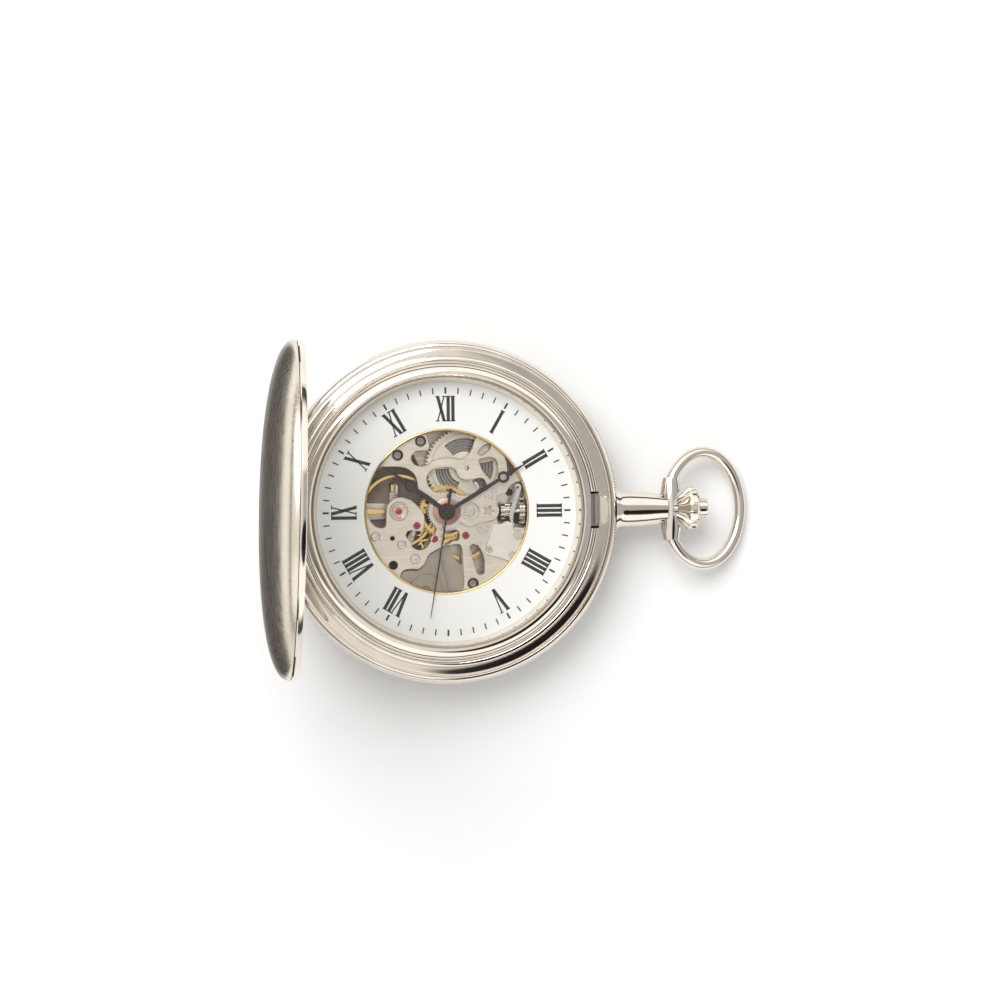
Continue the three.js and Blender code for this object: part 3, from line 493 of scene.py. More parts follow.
def reeding():
    """The coin edge round the band, closed at its back by a plain wall."""
    around = 400 * 4
    wall = 22.9
    low, high = 3.2, 7.05
    rows = [(low, 23.08, 23.08), (low + 0.2, CASE_R, 23.17), (high - 0.15, CASE_R, 23.17),
            (high, 23.12, 23.12), (high, wall, wall), (low, wall, wall)]
    points = []
    for z, tip, root in rows:
        for i in range(around):
            r = tip if i % 4 in (0, 1) else root
            points.append((*polar(CENTRE, r, 2 * math.pi * (i + 0.5) / around), z))
    return solid_from("reeding", points, ring_faces(len(rows), around, looped=True))


def case_back():
    return turned([
        (0, 0), (14.5, 0), (15.2, 0.03), (16.6, 0.16), (18.5, 0.45), (20.1, 0.83), (21.2, 1.2),
        (21.9, 1.55), (BACK_R, 1.97), (21.8, 2.2), (21.8, 3.0), (21.3, 3.0), (21.2, 1.9),
        (17, 0.85), (0, 0.8),
    ], SIDES)


def bezel():
    body = turned([
        (17.65, 6.98), (18.8, 6.98), (18.8, 7.98), (20.12, 7.98), (20.18, 8.2), (20.15, 8.5),
        (20.02, 8.82), (19.8, 9.12), (19.5, 9.37), (19.15, 9.54), (18.8, BEZEL_TOP),
        (18.55, 9.58), (18.46, 9.48), (18.45, 8.9), (18.12, 8.9), (18.06, 8.7), (17.72, 7.1),
    ], SIDES)
    return boolean(body, catch_room())


def crystal():
    return turned([(0, 8.95), (18.12, 8.95), (18.15, 9.4), (17.85, 9.66), (0, 9.75)], SIDES)


KNUCKLE_R = 0.62
PIN_BORE_R = 0.29
HINGE_HALF = 3.75  # half the length of the hinge
COVER_KNUCKLE_HALF = 1.22
CASE_KNUCKLE_START = 1.28


def to_hinge(mesh):
    """Turned about the middle of the case to where the hinge is."""
    mesh.transform(Matrix.Rotation(HINGE_TURN, 4, "Z"))
    return mesh


def knuckle(y0, y1):
    r, bore, edge = KNUCKLE_R, PIN_BORE_R, 0.06
    profile = [(bore, y0), (r - edge, y0), (r, y0 + edge), (r, y1 - edge), (r - edge, y1), (bore, y1)]
    return to_hinge(turned(profile, 40, matrix=along_y(-HINGE_R, HINGE.z)))


def case_knuckles():
    made = []
    for y0, y1 in ((CASE_KNUCKLE_START, HINGE_HALF), (-HINGE_HALF, -CASE_KNUCKLE_START)):
        foot = to_hinge(block(-HINGE_R - KNUCKLE_R, -HINGE_R + 0.25, y0, y1, 7.7, HINGE.z))
        made.append(boolean(knuckle(y0, y1), boolean(foot, hinge_bore()), "UNION"))
    return merged(*made)


def hinge_bore():
    profile = [(0, -8), (PIN_BORE_R, -8), (PIN_BORE_R, 8), (0, 8)]
    return to_hinge(turned(profile, 24, matrix=along_y(-HINGE_R, HINGE.z)))


def lid_catch():
    """The sliding catch: a carriage under the ledge and a hook up through the slot."""
    low, high = span("lid_catch")
    carriage = block(low.x, high.x, low.y, high.y, low.z, low.z + 0.55)
    shank = block(20.1, 20.4, -2.1, 2.1, low.z + 0.5, 7.9)
    nose = block(20.15, 20.6, -1.9, 1.9, 7.6, 8.15)
    return merged(carriage, shank, nose)


def hinge_pin():
    low, high = span("hinge_pin")
    radius = (high.z - low.z) / 2
    half = HINGE_HALF
    profile = [(0, -half), (radius - 0.05, -half), (radius, 0.05 - half), (radius, half - 0.05),
               (radius - 0.05, half), (0, half)]
    matrix = Matrix.Translation(HINGE) @ Matrix.Rotation(HINGE_TURN, 4, "Z") @ Z_TO_Y
    return turned(profile, 32, matrix=matrix)


def leaf_spring(node, inner, outer, start, stop):
    """A curved leaf lying in the case, with its thickness and place from the frame."""
    low, high = span(node)
    return flat(band(CENTRE, inner, outer, start, stop, 40), low.z, high.z, bevel=0.05)


def guard_outline(grow=0.0):
    """The half-moon beside the catch's slot, its flat side to the slot."""
    side = [(20.75 - grow, 2.0 + grow), (21.6, 1.85 + grow), (21.95 + grow, 1.3), (22.08 + grow, 0.5)]
    return [(x, -y) for x, y in side] + side[::-1]


def catch_guard():
    return flat(guard_outline(), 7.5, GUARD_TOP, bevel=0.1)


def build_case():
    piece("case_band_polished", case_band(), "polished_case", "case", ["case_band"], 20)
    piece("case_band_reeding", reeding(), "polished_case", "case", smooth=10)
    piece("case_hinge_knuckles", case_knuckles(), "polished_case", "case")
    piece("case_back_shell", case_back(), "polished_case", "case", ["case_back"], 20)
    # A dark disc laid on the case back's inner face: painted shade in the deep room under the balance.
    inside = turned([(0, 0.8), (15.3, 0.8), (15.3, 0.9), (0, 0.9)], 120)
    piece("case_back_inside_painted_shade", inside, INNER_SATIN_PAINTED_SHADE, "case")
    piece("bezel_ring", bezel(), "polished_case", "case", ["bezel"], 25)
    piece("crystal_glass", crystal(), "crystal", "case", ["crystal"], 20)
    piece("lid_catch_hook", lid_catch(), "spring_steel", "catch", ["lid_catch"])
    piece("catch_guard_plate", catch_guard(), "polished_case", "case")
    piece("hinge_pin_turned", hinge_pin(), "steel", "case", ["hinge_pin"])
    piece("lock_spring_leaf", leaf_spring("lock_spring", 21.1, 21.5, 10, 95), "spring_steel", "case",
          ["lock_spring"])
    piece("fly_spring_leaf", leaf_spring("fly_spring", 21.0, 21.5, 140, 215), "spring_steel", "case",
          ["fly_spring"])
    seal = turned([(18.2, 8.95), (18.42, 8.95), (18.42, 9.42), (18.2, 9.34)], SIDES)
    piece("crystal_seal", seal, "seal", "case", ["crystal_gasket"])


# ------------------------------------------------------------------ cover
OPENED = (
    Matrix.Rotation(HINGE_TURN, 4, "Z") @ Matrix.Translation((-HINGE_R, 0, HINGE.z))
    @ Matrix.Rotation(-math.pi / 2, 4, "Y") @ Matrix.Translation((HINGE_R, 0, -HINGE.z))
)
COVER_R = 22.1
RIM_LOW = LEDGE_Z + 0.03
RIM_TOP = RIM_LOW + 0.9


def dome(radius, height, base, count=40, power=2.3):
    """Points of the cover's swelling section, from its edge to its middle."""
    points = []
    for i in range(count + 1):
        t = i / count * math.pi / 2
        points.append((radius * max(0.0, math.cos(t)) ** (2 / power),
                       base + height * math.sin(t) ** (2 / power)))
    points[-1] = (0, base + height)
    return points


def hinge_room():
    """Space in the closed cover for the case's two knuckles and their feet."""
    made = []
    r, start, stop = KNUCKLE_R + 0.1, CASE_KNUCKLE_START - 0.03, HINGE_HALF + 0.08
    for y0, y1 in ((start, stop), (-stop, -start)):
        eye = turned([(0, y0), (r, y0), (r, y1), (0, y1)], 32, matrix=along_y(-HINGE_R, HINGE.z))
        foot = block(-HINGE_R - 1.0, -HINGE_R + 0.35, y0, y1, 7.5, HINGE.z)
        made.append(boolean(eye, foot, "UNION"))
    return to_hinge(merged(*made))


def cover_rim():
    profile = [
        (21.2, RIM_LOW + 0.1), (21.3, RIM_LOW), (21.9, RIM_LOW), (22.05, RIM_LOW + 0.08),
        (COVER_R, RIM_LOW + 0.25), (COVER_R, RIM_TOP - 0.22), (22.03, RIM_TOP - 0.08),
        (21.86, RIM_TOP), (21.2, RIM_TOP),
    ]
    mesh = boolean(turned(profile, SIDES), hinge_room())
    mesh.transform(OPENED)
    return mesh


def cover_shell():
    base = RIM_TOP + 0.03
    outside = dome(COVER_R - 0.12, 4.2, base)
    inside = dome(COVER_R - 0.72, 3.6, base)
    mesh = boolean(turned(outside + inside[::-1], SIDES), hinge_room())
    mesh.transform(OPENED)
    return mesh


def build_cover():
    piece("cover_rim_polished", cover_rim(), "polished_case", "cover", ["cover_rim"], 25)
    piece("cover_hinge_knuckle", knuckle(-COVER_KNUCKLE_HALF, COVER_KNUCKLE_HALF), "polished_case", "cover")
    piece("cover_dome", cover_shell(), "satin_cover", "cover", ["cover_shell"], 30)


# ------------------------------------------------------------------ pendant, crown and bow
YOKE_HALF = 4.32
YOKE_END_R = 1.09
YOKE_SWELL = 0.51
CROWN_R = 2.9
CROWN_GRIP = 3.1


def pendant():
    tube_body = turned([
        (1.0, 22.3), (1.4, 22.3), (1.4, 23.2), (2.95, 23.2), (2.8, 23.55), (2.62, 23.85),
        (2.5, 24.2), (2.48, 25.0), (2.44, 26.2), (2.34, 27.4), (2.2, 28.6), (2.05, 29.6),
        (1.95, 30.4), (1.0, 30.4),
    ], 96, matrix=ALONG_X)
    yoke_profile = [(0, -YOKE_HALF), (YOKE_END_R - 0.25, -YOKE_HALF)]
    for i in range(33):
        y = (YOKE_HALF - 0.06) * (i / 16 - 1)
        yoke_profile.append((YOKE_END_R + YOKE_SWELL * (1 - (y / YOKE_HALF) ** 2), y))
    yoke_profile += [(YOKE_END_R - 0.25, YOKE_HALF), (0, YOKE_HALF)]
    yoke = turned(yoke_profile, 64, matrix=along_y(BOW_X, STEM_Z))
    room = CROWN_X - 0.7
    crown_room = turned([(0, room), (1.6, room), (3.05, room + 1.5), (3.05, room + 5),
                         (0, room + 5)], 96, matrix=ALONG_X)
    bore = turned([(0, 22), (1.0, 22), (1.0, 34), (0, 34)], 48, matrix=ALONG_X)
    whole = boolean(tube_body, yoke, "UNION")
    return boolean(boolean(whole, crown_room), bore)


def crown():
    """The onion crown with flat-topped flutes, and the button at its end."""
    flutes = 14
    per_flute = 12
    around = flutes * per_flute
    stations = [(0.0, 1.4, 0.12), (0.4, 1.76, 0.2), (0.9, 2.2, 0.28), (1.6, 2.86, 0.34),
                (1.66, CROWN_R, 0.34), (2.58, CROWN_R, 0.34), (2.64, 2.86, 0.34),
                (CROWN_GRIP, 2.05, 0.1)]
    points = []
    for x, r, depth in stations:
        for i in range(around):
            place = i % per_flute
            groove = depth * (1.0 if place in (5, 6) else 0.35 if place in (4, 7) else 0.0)
            points.append((*polar(CENTRE, r - groove, 2 * math.pi * i / around), CROWN_X + x))
    grip = solid_from("grip", points, ring_faces(len(stations), around))
    grip.transform(ALONG_X)
    end = CROWN_X + CROWN_GRIP
    button = turned([
        (0, end - 0.3), (1.37, end - 0.3), (1.37, end + 0.95), (1.32, end + 1.1),
        (1.15, end + 1.19), (0, end + 1.2),
    ], 64, matrix=ALONG_X)
    return merged(grip, button)


BOW_WIRE_R = 0.8
BOW_MIDDLE = 5.1
BOW_SEMI_X = 5.83
BOW_SEMI_Y = 7.7


def bow():
    """An oval loop whose two ends turn in to the pivots; it lies on the table."""
    droop = math.asin((STEM_Z - BOW_WIRE_R) / (BOW_MIDDLE + BOW_SEMI_X))
    limit = math.pi - math.asin((YOKE_HALF + 0.1) / BOW_SEMI_Y)
    steps = 96
    path = [Vector((0.1, -3.4, 0))]
    for i in range(steps + 1):
        t = limit * (2 * i / steps - 1)
        path.append(Vector((BOW_MIDDLE + BOW_SEMI_X * math.cos(t), BOW_SEMI_Y * math.sin(t), 0)))
    path.append(Vector((0.1, 3.4, 0)))
    mesh = tube(path, [BOW_WIRE_R] * len(path), 32)
    mesh.transform(Matrix.Translation((BOW_X, 0, STEM_Z)) @ Matrix.Rotation(droop, 4, "Y"))
    return mesh


def build_pendant():
    piece("pendant_yoke", pendant(), "polished_case", "case", ["pendant"], 40)
    piece("crown_onion", crown(), "polished_case", "crown", ["crown"], 30)
    piece("bow_loop", bow(), "polished_case", "bow", ["bow"], 50)


# ------------------------------------------------------------------ dial
NUMERAL_LOW = 12.27
NUMERAL_HEIGHT = 3.46
PRINT_TOP = DIAL_TOP + 0.02
THICK, THIN, SERIF = 0.45, 0.18, 0.14
HALF_SERIF = 0.3
STEM_STEP = 0.64


def stroke(foot, top, width):
    """A straight stroke of a numeral, leaning from its foot to its top."""
    half = width / 2
    return [(foot - half, 0), (foot + half, 0), (top + half, NUMERAL_HEIGHT), (top - half, NUMERAL_HEIGHT)]


def serif(x, top, half=HALF_SERIF):
    low, high = (NUMERAL_HEIGHT - SERIF, NUMERAL_HEIGHT) if top else (0, SERIF)
    return [(x - half, low), (x + half, low), (x + half, high), (x - half, high)]


def letter_i(x):
    return [stroke(x, x, THICK), serif(x, False), serif(x, True)]


def letter_v(x):
    left, middle, right = x - 0.05, x + 0.42, x + 0.95
    return [stroke(middle, left, THICK), stroke(middle + 0.06, right, THIN),
            serif(left, True), serif(right, True, 0.24)]


def letter_x(x):
    left, right = x, x + 0.9
    ends = [serif(side, top, 0.27) for top in (True, False) for side in (left, right)]
    return [stroke(right, left, THICK), stroke(left, right, THIN), *ends]


LETTERS = {"I": letter_i, "V": letter_v, "X": letter_x}
LETTER_WIDTH = {"I": STEM_STEP, "V": 1.3, "X": 1.36}
LETTER_START = {"I": STEM_STEP / 2, "V": 0.25, "X": 0.23}


def numeral(word, hour):
    """The strokes of one numeral as prisms, its top towards the rim of the dial."""
    x = -sum(LETTER_WIDTH[c] for c in word) / 2
    angle = math.radians(90 - 30 * hour)
    outward = Vector((math.cos(angle), math.sin(angle)))
    across = Vector((math.sin(angle), -math.cos(angle)))
    made = []
    for c in word:
        for outline in LETTERS[c](x + LETTER_START[c]):
            placed = [across * u + outward * (NUMERAL_LOW + v) for u, v in outline]
            made.append(prism(flatten(placed), DIAL_TOP - 0.01, PRINT_TOP))
        x += LETTER_WIDTH[c]
    return made


def minute_track():
    made = []
    for minute in range(60):
        angle = math.radians(90 - 6 * minute)
        half = 0.13 if minute % 5 == 0 else 0.085
        outward = Vector((math.cos(angle), math.sin(angle)))
        across = Vector((-math.sin(angle), math.cos(angle)))
        outline = [outward * r + across * s for r, s in (
            (16.05, -half), (16.9, -half), (16.9, half), (16.05, half))]
        made.append(prism(flatten(outline), DIAL_TOP - 0.01, PRINT_TOP))
    return made


def build_dial():
    outer = DIAL_R - 0.02
    dial = turned([
        (APERTURE_R + 0.03, DIAL_LOW), (outer, DIAL_LOW), (outer, DIAL_TOP), (14.0, DIAL_TOP),
        (APERTURE_R + 0.08, DIAL_TOP), (APERTURE_R + 0.03, DIAL_TOP - 0.05),
    ], SIDES)
    piece("dial_plate", dial, "dial_white", "case", ["dial"])
    gilt_edge = turned([
        (10.95, DIAL_LOW), (APERTURE_R, DIAL_LOW), (APERTURE_R, DIAL_TOP + 0.04),
        (11.12, DIAL_TOP + 0.08), (11.02, DIAL_TOP + 0.06), (10.95, DIAL_TOP - 0.03),
    ], SIDES)
    piece("dial_gilt_ring", gilt_edge, "gilt", "case", ["aperture_ring"])
    words = {1: "I", 2: "II", 3: "III", 4: "IIII", 5: "V", 7: "VII", 8: "VIII", 9: "IX",
             10: "X", 11: "XI", 12: "XII"}
    prints = [p for hour, word in words.items() for p in numeral(word, hour)]
    piece("dial_numerals", merged(*prints), PRINT_BLACK, "case")
    piece("dial_minute_track", merged(*minute_track()), PRINT_BLACK, "case")


# ------------------------------------------------------------------ hands
def blade(half_widths, angle):
    """A hand's outline from (distance, half width) along its length."""
    ahead = Vector((math.cos(angle), math.sin(angle)))
    left = Vector((-math.sin(angle), math.cos(angle)))
    one = [ahead * s + left * w for s, w in half_widths]
    other = [ahead * s - left * w for s, w in reversed(half_widths)]
    return flatten(other + one)


def round_part(at, r, start, stop, count=14):
    """Half widths of a disc of radius r about a distance, from start to stop along the hand."""
    return [(at - r * math.cos(a), r * math.sin(a)) for a in (
        math.radians(start + (stop - start) * i / (count - 1)) for i in range(count))]


def breguet(angle, length, eye_at, eye_r, hole_r, arm, hub_r, bore, low, high):
    """A hand with a swelling arm, a ring off its tip and a long point."""
    widths = round_part(0, hub_r, 3, 165)
    leaf_start, leaf_end = hub_r + 0.05, eye_at - eye_r - 0.05
    for i in range(1, 8):
        t = i / 8
        swell = math.sin(math.pi * min(1, t * 1.15)) * 0.5 + 0.5
        widths.append((leaf_start + (leaf_end - leaf_start) * t, arm / 2 * (0.62 + 0.38 * swell)))
    widths += round_part(eye_at, eye_r, 16, 160)
    point_start = eye_at + eye_r
    widths += [(point_start + 0.15, arm * 0.5), (point_start + 0.9, arm * 0.38),
               (point_start + (length - point_start) * 0.5, 0.085), (length, 0.025)]
    hub_hole = circle(CENTRE, bore, 28)
    return flat(blade(widths, angle), low, high, [circle(polar(CENTRE, eye_at, angle), hole_r, 32),
                                                  hub_hole], 0.03)


def build_hands():
    hour = span("hour_hand")
    minute = span("minute_hand")
    seconds = span("seconds_hand")
    piece("hour_hand_breguet", breguet(
        HOUR_ANGLE, 10.7, 6.1, 0.84, 0.46, 0.72, 1.15, 0.97, hour[0].z, hour[1].z,
    ), "black_steel", "hours", ["hour_hand"])
    piece("minute_hand_breguet", breguet(
        MINUTE_ANGLE, 14.7, 9.0, 0.8, 0.44, 0.6, 0.98, 0.53, minute[0].z, minute[1].z,
    ), "black_steel", "minutes", ["minute_hand"])
    low = seconds[0].z
    tail = [(-3.2, 0.2), (-3.1, 0.23), (-1.5, 0.19), (-0.75, 0.13)]
    needle = blade(tail + round_part(0, 0.7, 12, 168) + [(0.9, 0.12), (8.0, 0.1), (14.6, 0.05)],
                   SECONDS_ANGLE)
    hub = turned([
        (0, low + 0.02), (0.7, low + 0.02), (0.7, low + 0.16), (0.62, low + 0.22),
        (0.44, low + 0.22), (0.42, low + 0.3), (0.36, low + 0.36), (0.18, low + 0.37),
        (0.16, low + 0.33), (0, low + 0.33),
    ], 48)
    piece("seconds_hand_needle", merged(flat(needle, low, low + 0.12, bevel=0.02), hub),
          "black_steel", "seconds", ["seconds_hand"])


# ------------------------------------------------------------------ movement plates
BALANCE_ROOM = [  # with the gap round the centre wheel and the pallet window
    (-10.9, 1.45), (-10.5, 3.5), (-9.2, 5.9), (-7.9, 6.2), (-5.9, 6.1), (-4.8, 5.6), (-4.1, 4.7),
    (-3.8, 3.2), (-3.15, 2.2), (-2.45, 1.5), (-2.2, 0.6), (-2.25, -0.6), (-1.9, -1.5),
    (-1.45, -2.1), (-1.55, -2.8), (-2.2, -4.0), (-2.9, -4.95), (-3.8, -5.15), (-4.6, -4.8),
    (-4.9, -4.0), (-5.4, -3.5), (-5.5, -2.9), (-4.95, -2.5), (-4.1, -2.6), (-3.4, -2.6),
    (-3.05, -1.9), (-2.95, -1.1), (-3.1, -0.2), (-3.6, 0.5), (-4.3, 1.2), (-5.1, 1.75),
    (-6.25, 2.05), (-7.3, 1.75), (-8.0, 1.0), (-8.2, 0.05), (-8.35, -1.9), (-9.3, -2.05),
    (-9.9, -1.7), (-10.5, -0.9), (-10.8, 0.35),
]
BARREL_WINDOW = [
    (-2.6, 4.7), (-2.3, 5.3), (-1.5, 5.85), (-0.1, 6.05), (1.15, 5.8), (1.6, 5.0), (2.1, 4.45),
    (3.2, 4.3), (4.9, 4.5), (5.45, 3.8), (5.3, 3.2), (4.2, 2.55), (3.0, 2.2), (2.2, 2.2),
    (1.6, 2.35), (0.9, 2.6), (0.0, 2.72), (-0.9, 2.62), (-1.6, 2.75), (-2.2, 3.3), (-2.55, 4.0),
]
TOP_OPENING = [
    (-2.3, 10.9), (-2.35, 9.8), (-2.2, 8.8), (-2.6, 8.35), (-3.3, 8.35), (-4.1, 8.2),
    (-4.65, 7.6), (-4.6, 6.9), (-4.1, 6.4), (-3.3, 6.2), (-2.5, 6.4), (-1.6, 7.0),
    (-0.4, 7.3), (0.9, 7.3), (2.0, 7.1), (2.9, 7.6), (3.5, 8.4), (3.9, 9.5), (4.1, 10.9),
    (1.2, 11.3),
]
COIL_WINDOW = [
    (4.6, 7.0), (5.4, 7.3), (6.3, 7.3), (6.9, 6.9), (7.15, 5.7), (6.9, 4.5), (6.1, 4.35),
    (5.2, 5.3), (4.7, 6.3),
]
CORNER_WINDOW = [(4.4, 7.9), (4.8, 8.6), (5.5, 9.1), (6.1, 9.2), (6.1, 8.5), (5.5, 7.95), (4.9, 7.6)]
RIGHT_TEETH_WINDOW = [
    (7.5, 8.4), (8.0, 7.6), (8.35, 6.6), (8.45, 5.6), (8.35, 5.0), (9.1, 4.9), (9.3, 6.0),
    (9.0, 7.2), (8.3, 8.5),
]
TRAIN_WINDOW = [
    (-0.4, -2.9), (0.2, -2.55), (1.55, -2.6), (1.65, -3.8), (0.8, -4.0), (0.3, -4.4), (-0.35, -4.4),
]
THIRD_SLOT = [
    (3.15, -4.9), (3.45, -4.5), (3.95, -4.5), (4.45, -4.9), (5.05, -6.3), (5.1, -8.2), (4.9, -8.6),
    (4.3, -8.6), (4.05, -8.2), (3.65, -6.8), (3.2, -5.5),
]
LOWER_LEVEL = [
    (-6.35, -8.8), (-5.9, -7.95), (-4.9, -7.75), (-3.9, -7.75), (-3.1, -7.1), (-2.55, -6.0),
    (-1.8, -5.4), (-0.9, -4.95), (-0.3, -4.6), (0.5, -4.55), (1.75, -4.5), (2.1, -5.6),
    (2.2, -8.0), (2.2, -10.4), (1.4, -11.5), (0.0, -11.7), (-2.0, -11.7), (-4.0, -11.4), (-5.6, -10.4),
]
THIRD_ARC_WINDOW = [(0.5, -4.75), (1.8, -4.7), (1.95, -5.6), (2.0, -7.2), (1.3, -6.6), (0.7, -5.8)]
WINDING_ROOM = [
    (7.1, 1.3), (7.3, 2.2), (8.2, 2.5), (8.7, 3.3), (9.6, 3.9), (10.4, 4.0), (11.2, 3.8),
    (11.4, 0.0), (11.2, -2.1), (9.4, -2.2), (8.0, -1.9), (7.1, -1.6), (6.9, -0.2),
]
PLATE_JEWELS = [(-4.05, -1.87), (-1.65, -3.69), (2.61, -3.27)]
SUNK_HOLES = [(-3.4, 9.64), (-6.56, 7.77), (3.54, -9.85)]
POLISHED_PINS = [(-6.13, -4.47, 0.54), (-4.33, -6.4, 0.62), (-9.71, -3.3, 0.55)]
DARK_HOLES = [(-7.4, -3.53, 0.31), (-7.32, -7.2, 0.6), (2.86, 5.9, 0.3)]
ROUND_TAB = (-2.9, -10.7)


def main_plate():
    """The upper level of the plate, with all its windows, over the milled lower level."""
    windows = [rounded(w) for w in (
        BALANCE_ROOM, BARREL_WINDOW, TOP_OPENING, COIL_WINDOW, CORNER_WINDOW, RIGHT_TEETH_WINDOW,
        TRAIN_WINDOW, THIRD_SLOT, LOWER_LEVEL, WINDING_ROOM)]
    holes = [circle(at, 0.46, 28) for at in PLATE_JEWELS]
    holes += [circle(at, 0.74, 32) for at in SUNK_HOLES]
    holes += [circle((x, y), r + 0.03, 28) for x, y, r in POLISHED_PINS]
    holes += [circle((x, y), r, 28) for x, y, r in DARK_HOLES]
    holes += [circle(CENTRE, 1.55, 40)]
    holes += [circle(BALANCE, 1.24, 40)]
    upper = flat(circle(CENTRE, PLATE_R, 180), PLATE_LOW + 0.5, PLATE_TOP, windows + holes, 0.06)
    floor_shape = rounded([(x * 1.02, y * 1.02) for x, y in LOWER_LEVEL])
    floor = flat(floor_shape, PLATE_LOW, PLATE_LOW + 0.45, [rounded(THIRD_ARC_WINDOW)], 0.04)
    tab = flat(circle(ROUND_TAB, 2.25, 60), PLATE_LOW + 0.45, PLATE_TOP - 0.25,
               [circle(ROUND_TAB, 0.62, 32)], 0.05)
    lower = merged(floor, tab)
    # Painted shade: a dark steel strip on the lower level stands for the shaded slot between two plates.
    slot_shade = flat([(-1.0, -5.6), (-0.7, -5.6), (0.75, -11.5), (0.35, -11.5)], PLATE_LOW + 0.45,
               PLATE_LOW + 0.7, bevel=0.03)
    return upper, lower, slot_shade


def screw(at, r, low, height, turn=20, slot_width=0.2):
    """A flat screw with a chamfered, slotted head."""
    body = pin(at, r, low, low + height, 0.05)
    tool = block(-r - 1, r + 1, -slot_width / 2, slot_width / 2, low + height * 0.45, low + height + 1)
    tool.transform(Matrix.Translation((at[0], at[1], 0)) @ Matrix.Rotation(math.radians(turn), 4, "Z"))
    return boolean(body, tool)


def sunk_screw(at):
    """A dark countersunk screw with a small socket, deep in the plate."""
    return turned([
        (0, 4.9), (0.9, 4.9), (0.9, 5.0), (0.56, 5.05), (0.52, 5.5), (0.46, 5.58), (0.26, 5.58),
        (0.22, 5.2), (0, 5.2)], 40, at)


def domed_pin(at, r):
    return turned([
        (0, 5.6), (r, 5.6), (r, 6.16), (r - 0.05, 6.2), (r * 0.62, 6.2), (r * 0.55, 6.12),
        (r * 0.3, 6.12), (r * 0.25, 6.2), (0, 6.22)], 36, at)


def jewel(at, r=0.42, low=5.9, top=6.18):
    """A pierced jewel with its oil cup."""
    return turned([(0.07, low), (r, low), (r, top - 0.03), (r - 0.04, top), (0.24, top),
                   (0.09, top - 0.12), (0.07, top - 0.12)], 36, at)


def bridge(inner, plate_arc, foot_arc):
    """A plate behind the movement, with a foot at its edge that reaches the main plate."""
    low = span("barrel_bridge")[0].z
    high = low + 0.5
    return merged(
        flat(band(CENTRE, inner, 15.2, *plate_arc, 60), low, high, bevel=0.05),
        flat(band(CENTRE, 13.0, 15.2, *foot_arc, 40), high - 0.1, PLATE_LOW - 0.03, bevel=0.03))


def build_plates():
    plate, lower, slot_shade = main_plate()
    piece("main_plate_pierced", plate, "nickel_plate", "case", ["main_plate"], 30)
    # The milled lower level is painted darker than the upper plate, as shade of the recess.
    piece("main_plate_lower_level", lower, LOWER_BRUSHED_PAINTED_SHADE, "case")
    # Painted shade: a dark strip where a slot between the plates lies in shade.
    piece("main_plate_slot_shade", slot_shade, "spring_steel", "case")
    screws = merged(*[sunk_screw(at) for at in SUNK_HOLES])
    piece("plate_sunk_screws", screws, "spring_steel", "case")
    pins = merged(*[domed_pin((x, y), r) for x, y, r in POLISHED_PINS])
    piece("plate_polished_pins", pins, "steel", "case")
    piece("plate_jewels", merged(*[jewel(at) for at in PLATE_JEWELS]), "ruby", "case")
    for node, inner, plate_arc, foot_arc in (
            ("barrel_bridge", 1.0, (20, 118), (24, 114)), ("train_bridge", 0.6, (238, 350), (244, 346))):
        piece(node + "_plate", bridge(inner, plate_arc, foot_arc), "nickel_plate", "case", [node])
    inner, outer, low, high = PLATE_R + 0.03, 18.85, 3.2, DIAL_LOW - 0.03
    movement_ring = turned([(inner, low), (outer, low), (outer, high), (inner, high)], 120)
    piece("movement_ring_turned", movement_ring, "nickel_plate", "case", ["movement_ring"])


# ------------------------------------------------------------------ balance and escapement
def coil(at, inner, outer, turns, thickness, low, high, per_turn=48):
    """A flat coiled spring."""
    steps = round(turns * per_turn)
    outline = []
    for sign, order in ((1, range(steps + 1)), (-1, range(steps, -1, -1))):
        for i in order:
            r = inner + (outer - inner) * i / steps + sign * thickness / 2
            outline.append(polar(at, r, 2 * math.pi * i / per_turn))
    return strip(outline, low, high)


def strip(outline, low, high):
    """A long thin plate whose outline runs out along one side and back along the other."""
    half = len(outline) // 2
    near, far = outline[:half], outline[half:][::-1]
    points = [(*p, z) for z in (low, high) for side in (near, far) for p in side]

    def at(level, side, i):
        return (level * 2 + side) * half + i

    faces = []
    for i in range(half - 1):
        for level in (0, 1):
            faces.append((at(level, 0, i), at(level, 0, i + 1), at(level, 1, i + 1), at(level, 1, i)))
        for side in (0, 1):
            faces.append((at(0, side, i), at(0, side, i + 1), at(1, side, i + 1), at(1, side, i)))
    for i in (0, half - 1):
        faces.append((at(0, 0, i), at(0, 1, i), at(1, 1, i), at(1, 0, i)))
    return solid_from("strip", points, faces)


def balance_wheel():
    inner, outer = 4.62, 5.07
    rim = flat(circle(BALANCE, outer, 96), 3.55, 3.95, [circle(BALANCE, inner, 96)], 0.05)
    x, y = BALANCE
    arm_outline = [(x - 4.75, y - 0.42), (x - 1.2, y - 0.28), (x + 1.2, y - 0.28), (x + 4.75, y - 0.42),
                   (x + 4.75, y + 0.42), (x + 1.2, y + 0.28), (x - 1.2, y + 0.28), (x - 4.75, y + 0.42)]
    arm = flat(arm_outline, 3.62, 3.88, bevel=0.04)
    return merged(rim, arm, pin(BALANCE, 0.7, 3.5, 4.0), pin(BALANCE, 0.2, 1.58, 4.97),
                  pin(BALANCE, 0.62, 3.1, 3.3))


def shock_setting():
    """The steel rim and cup of the balance's sprung jewel setting; its lyre spring and stone are made
    apart.
    """
    low = PLATE_TOP - 0.25
    rim = ring(BALANCE, 0.98, 1.22, low, PLATE_TOP + 0.08, 0.04)
    cup = turned([(0, low - 0.1), (0.98, low - 0.1), (0.98, low), (0.5, low - 0.04), (0, low - 0.04)],
                 48, BALANCE)
    return merged(rim, cup)


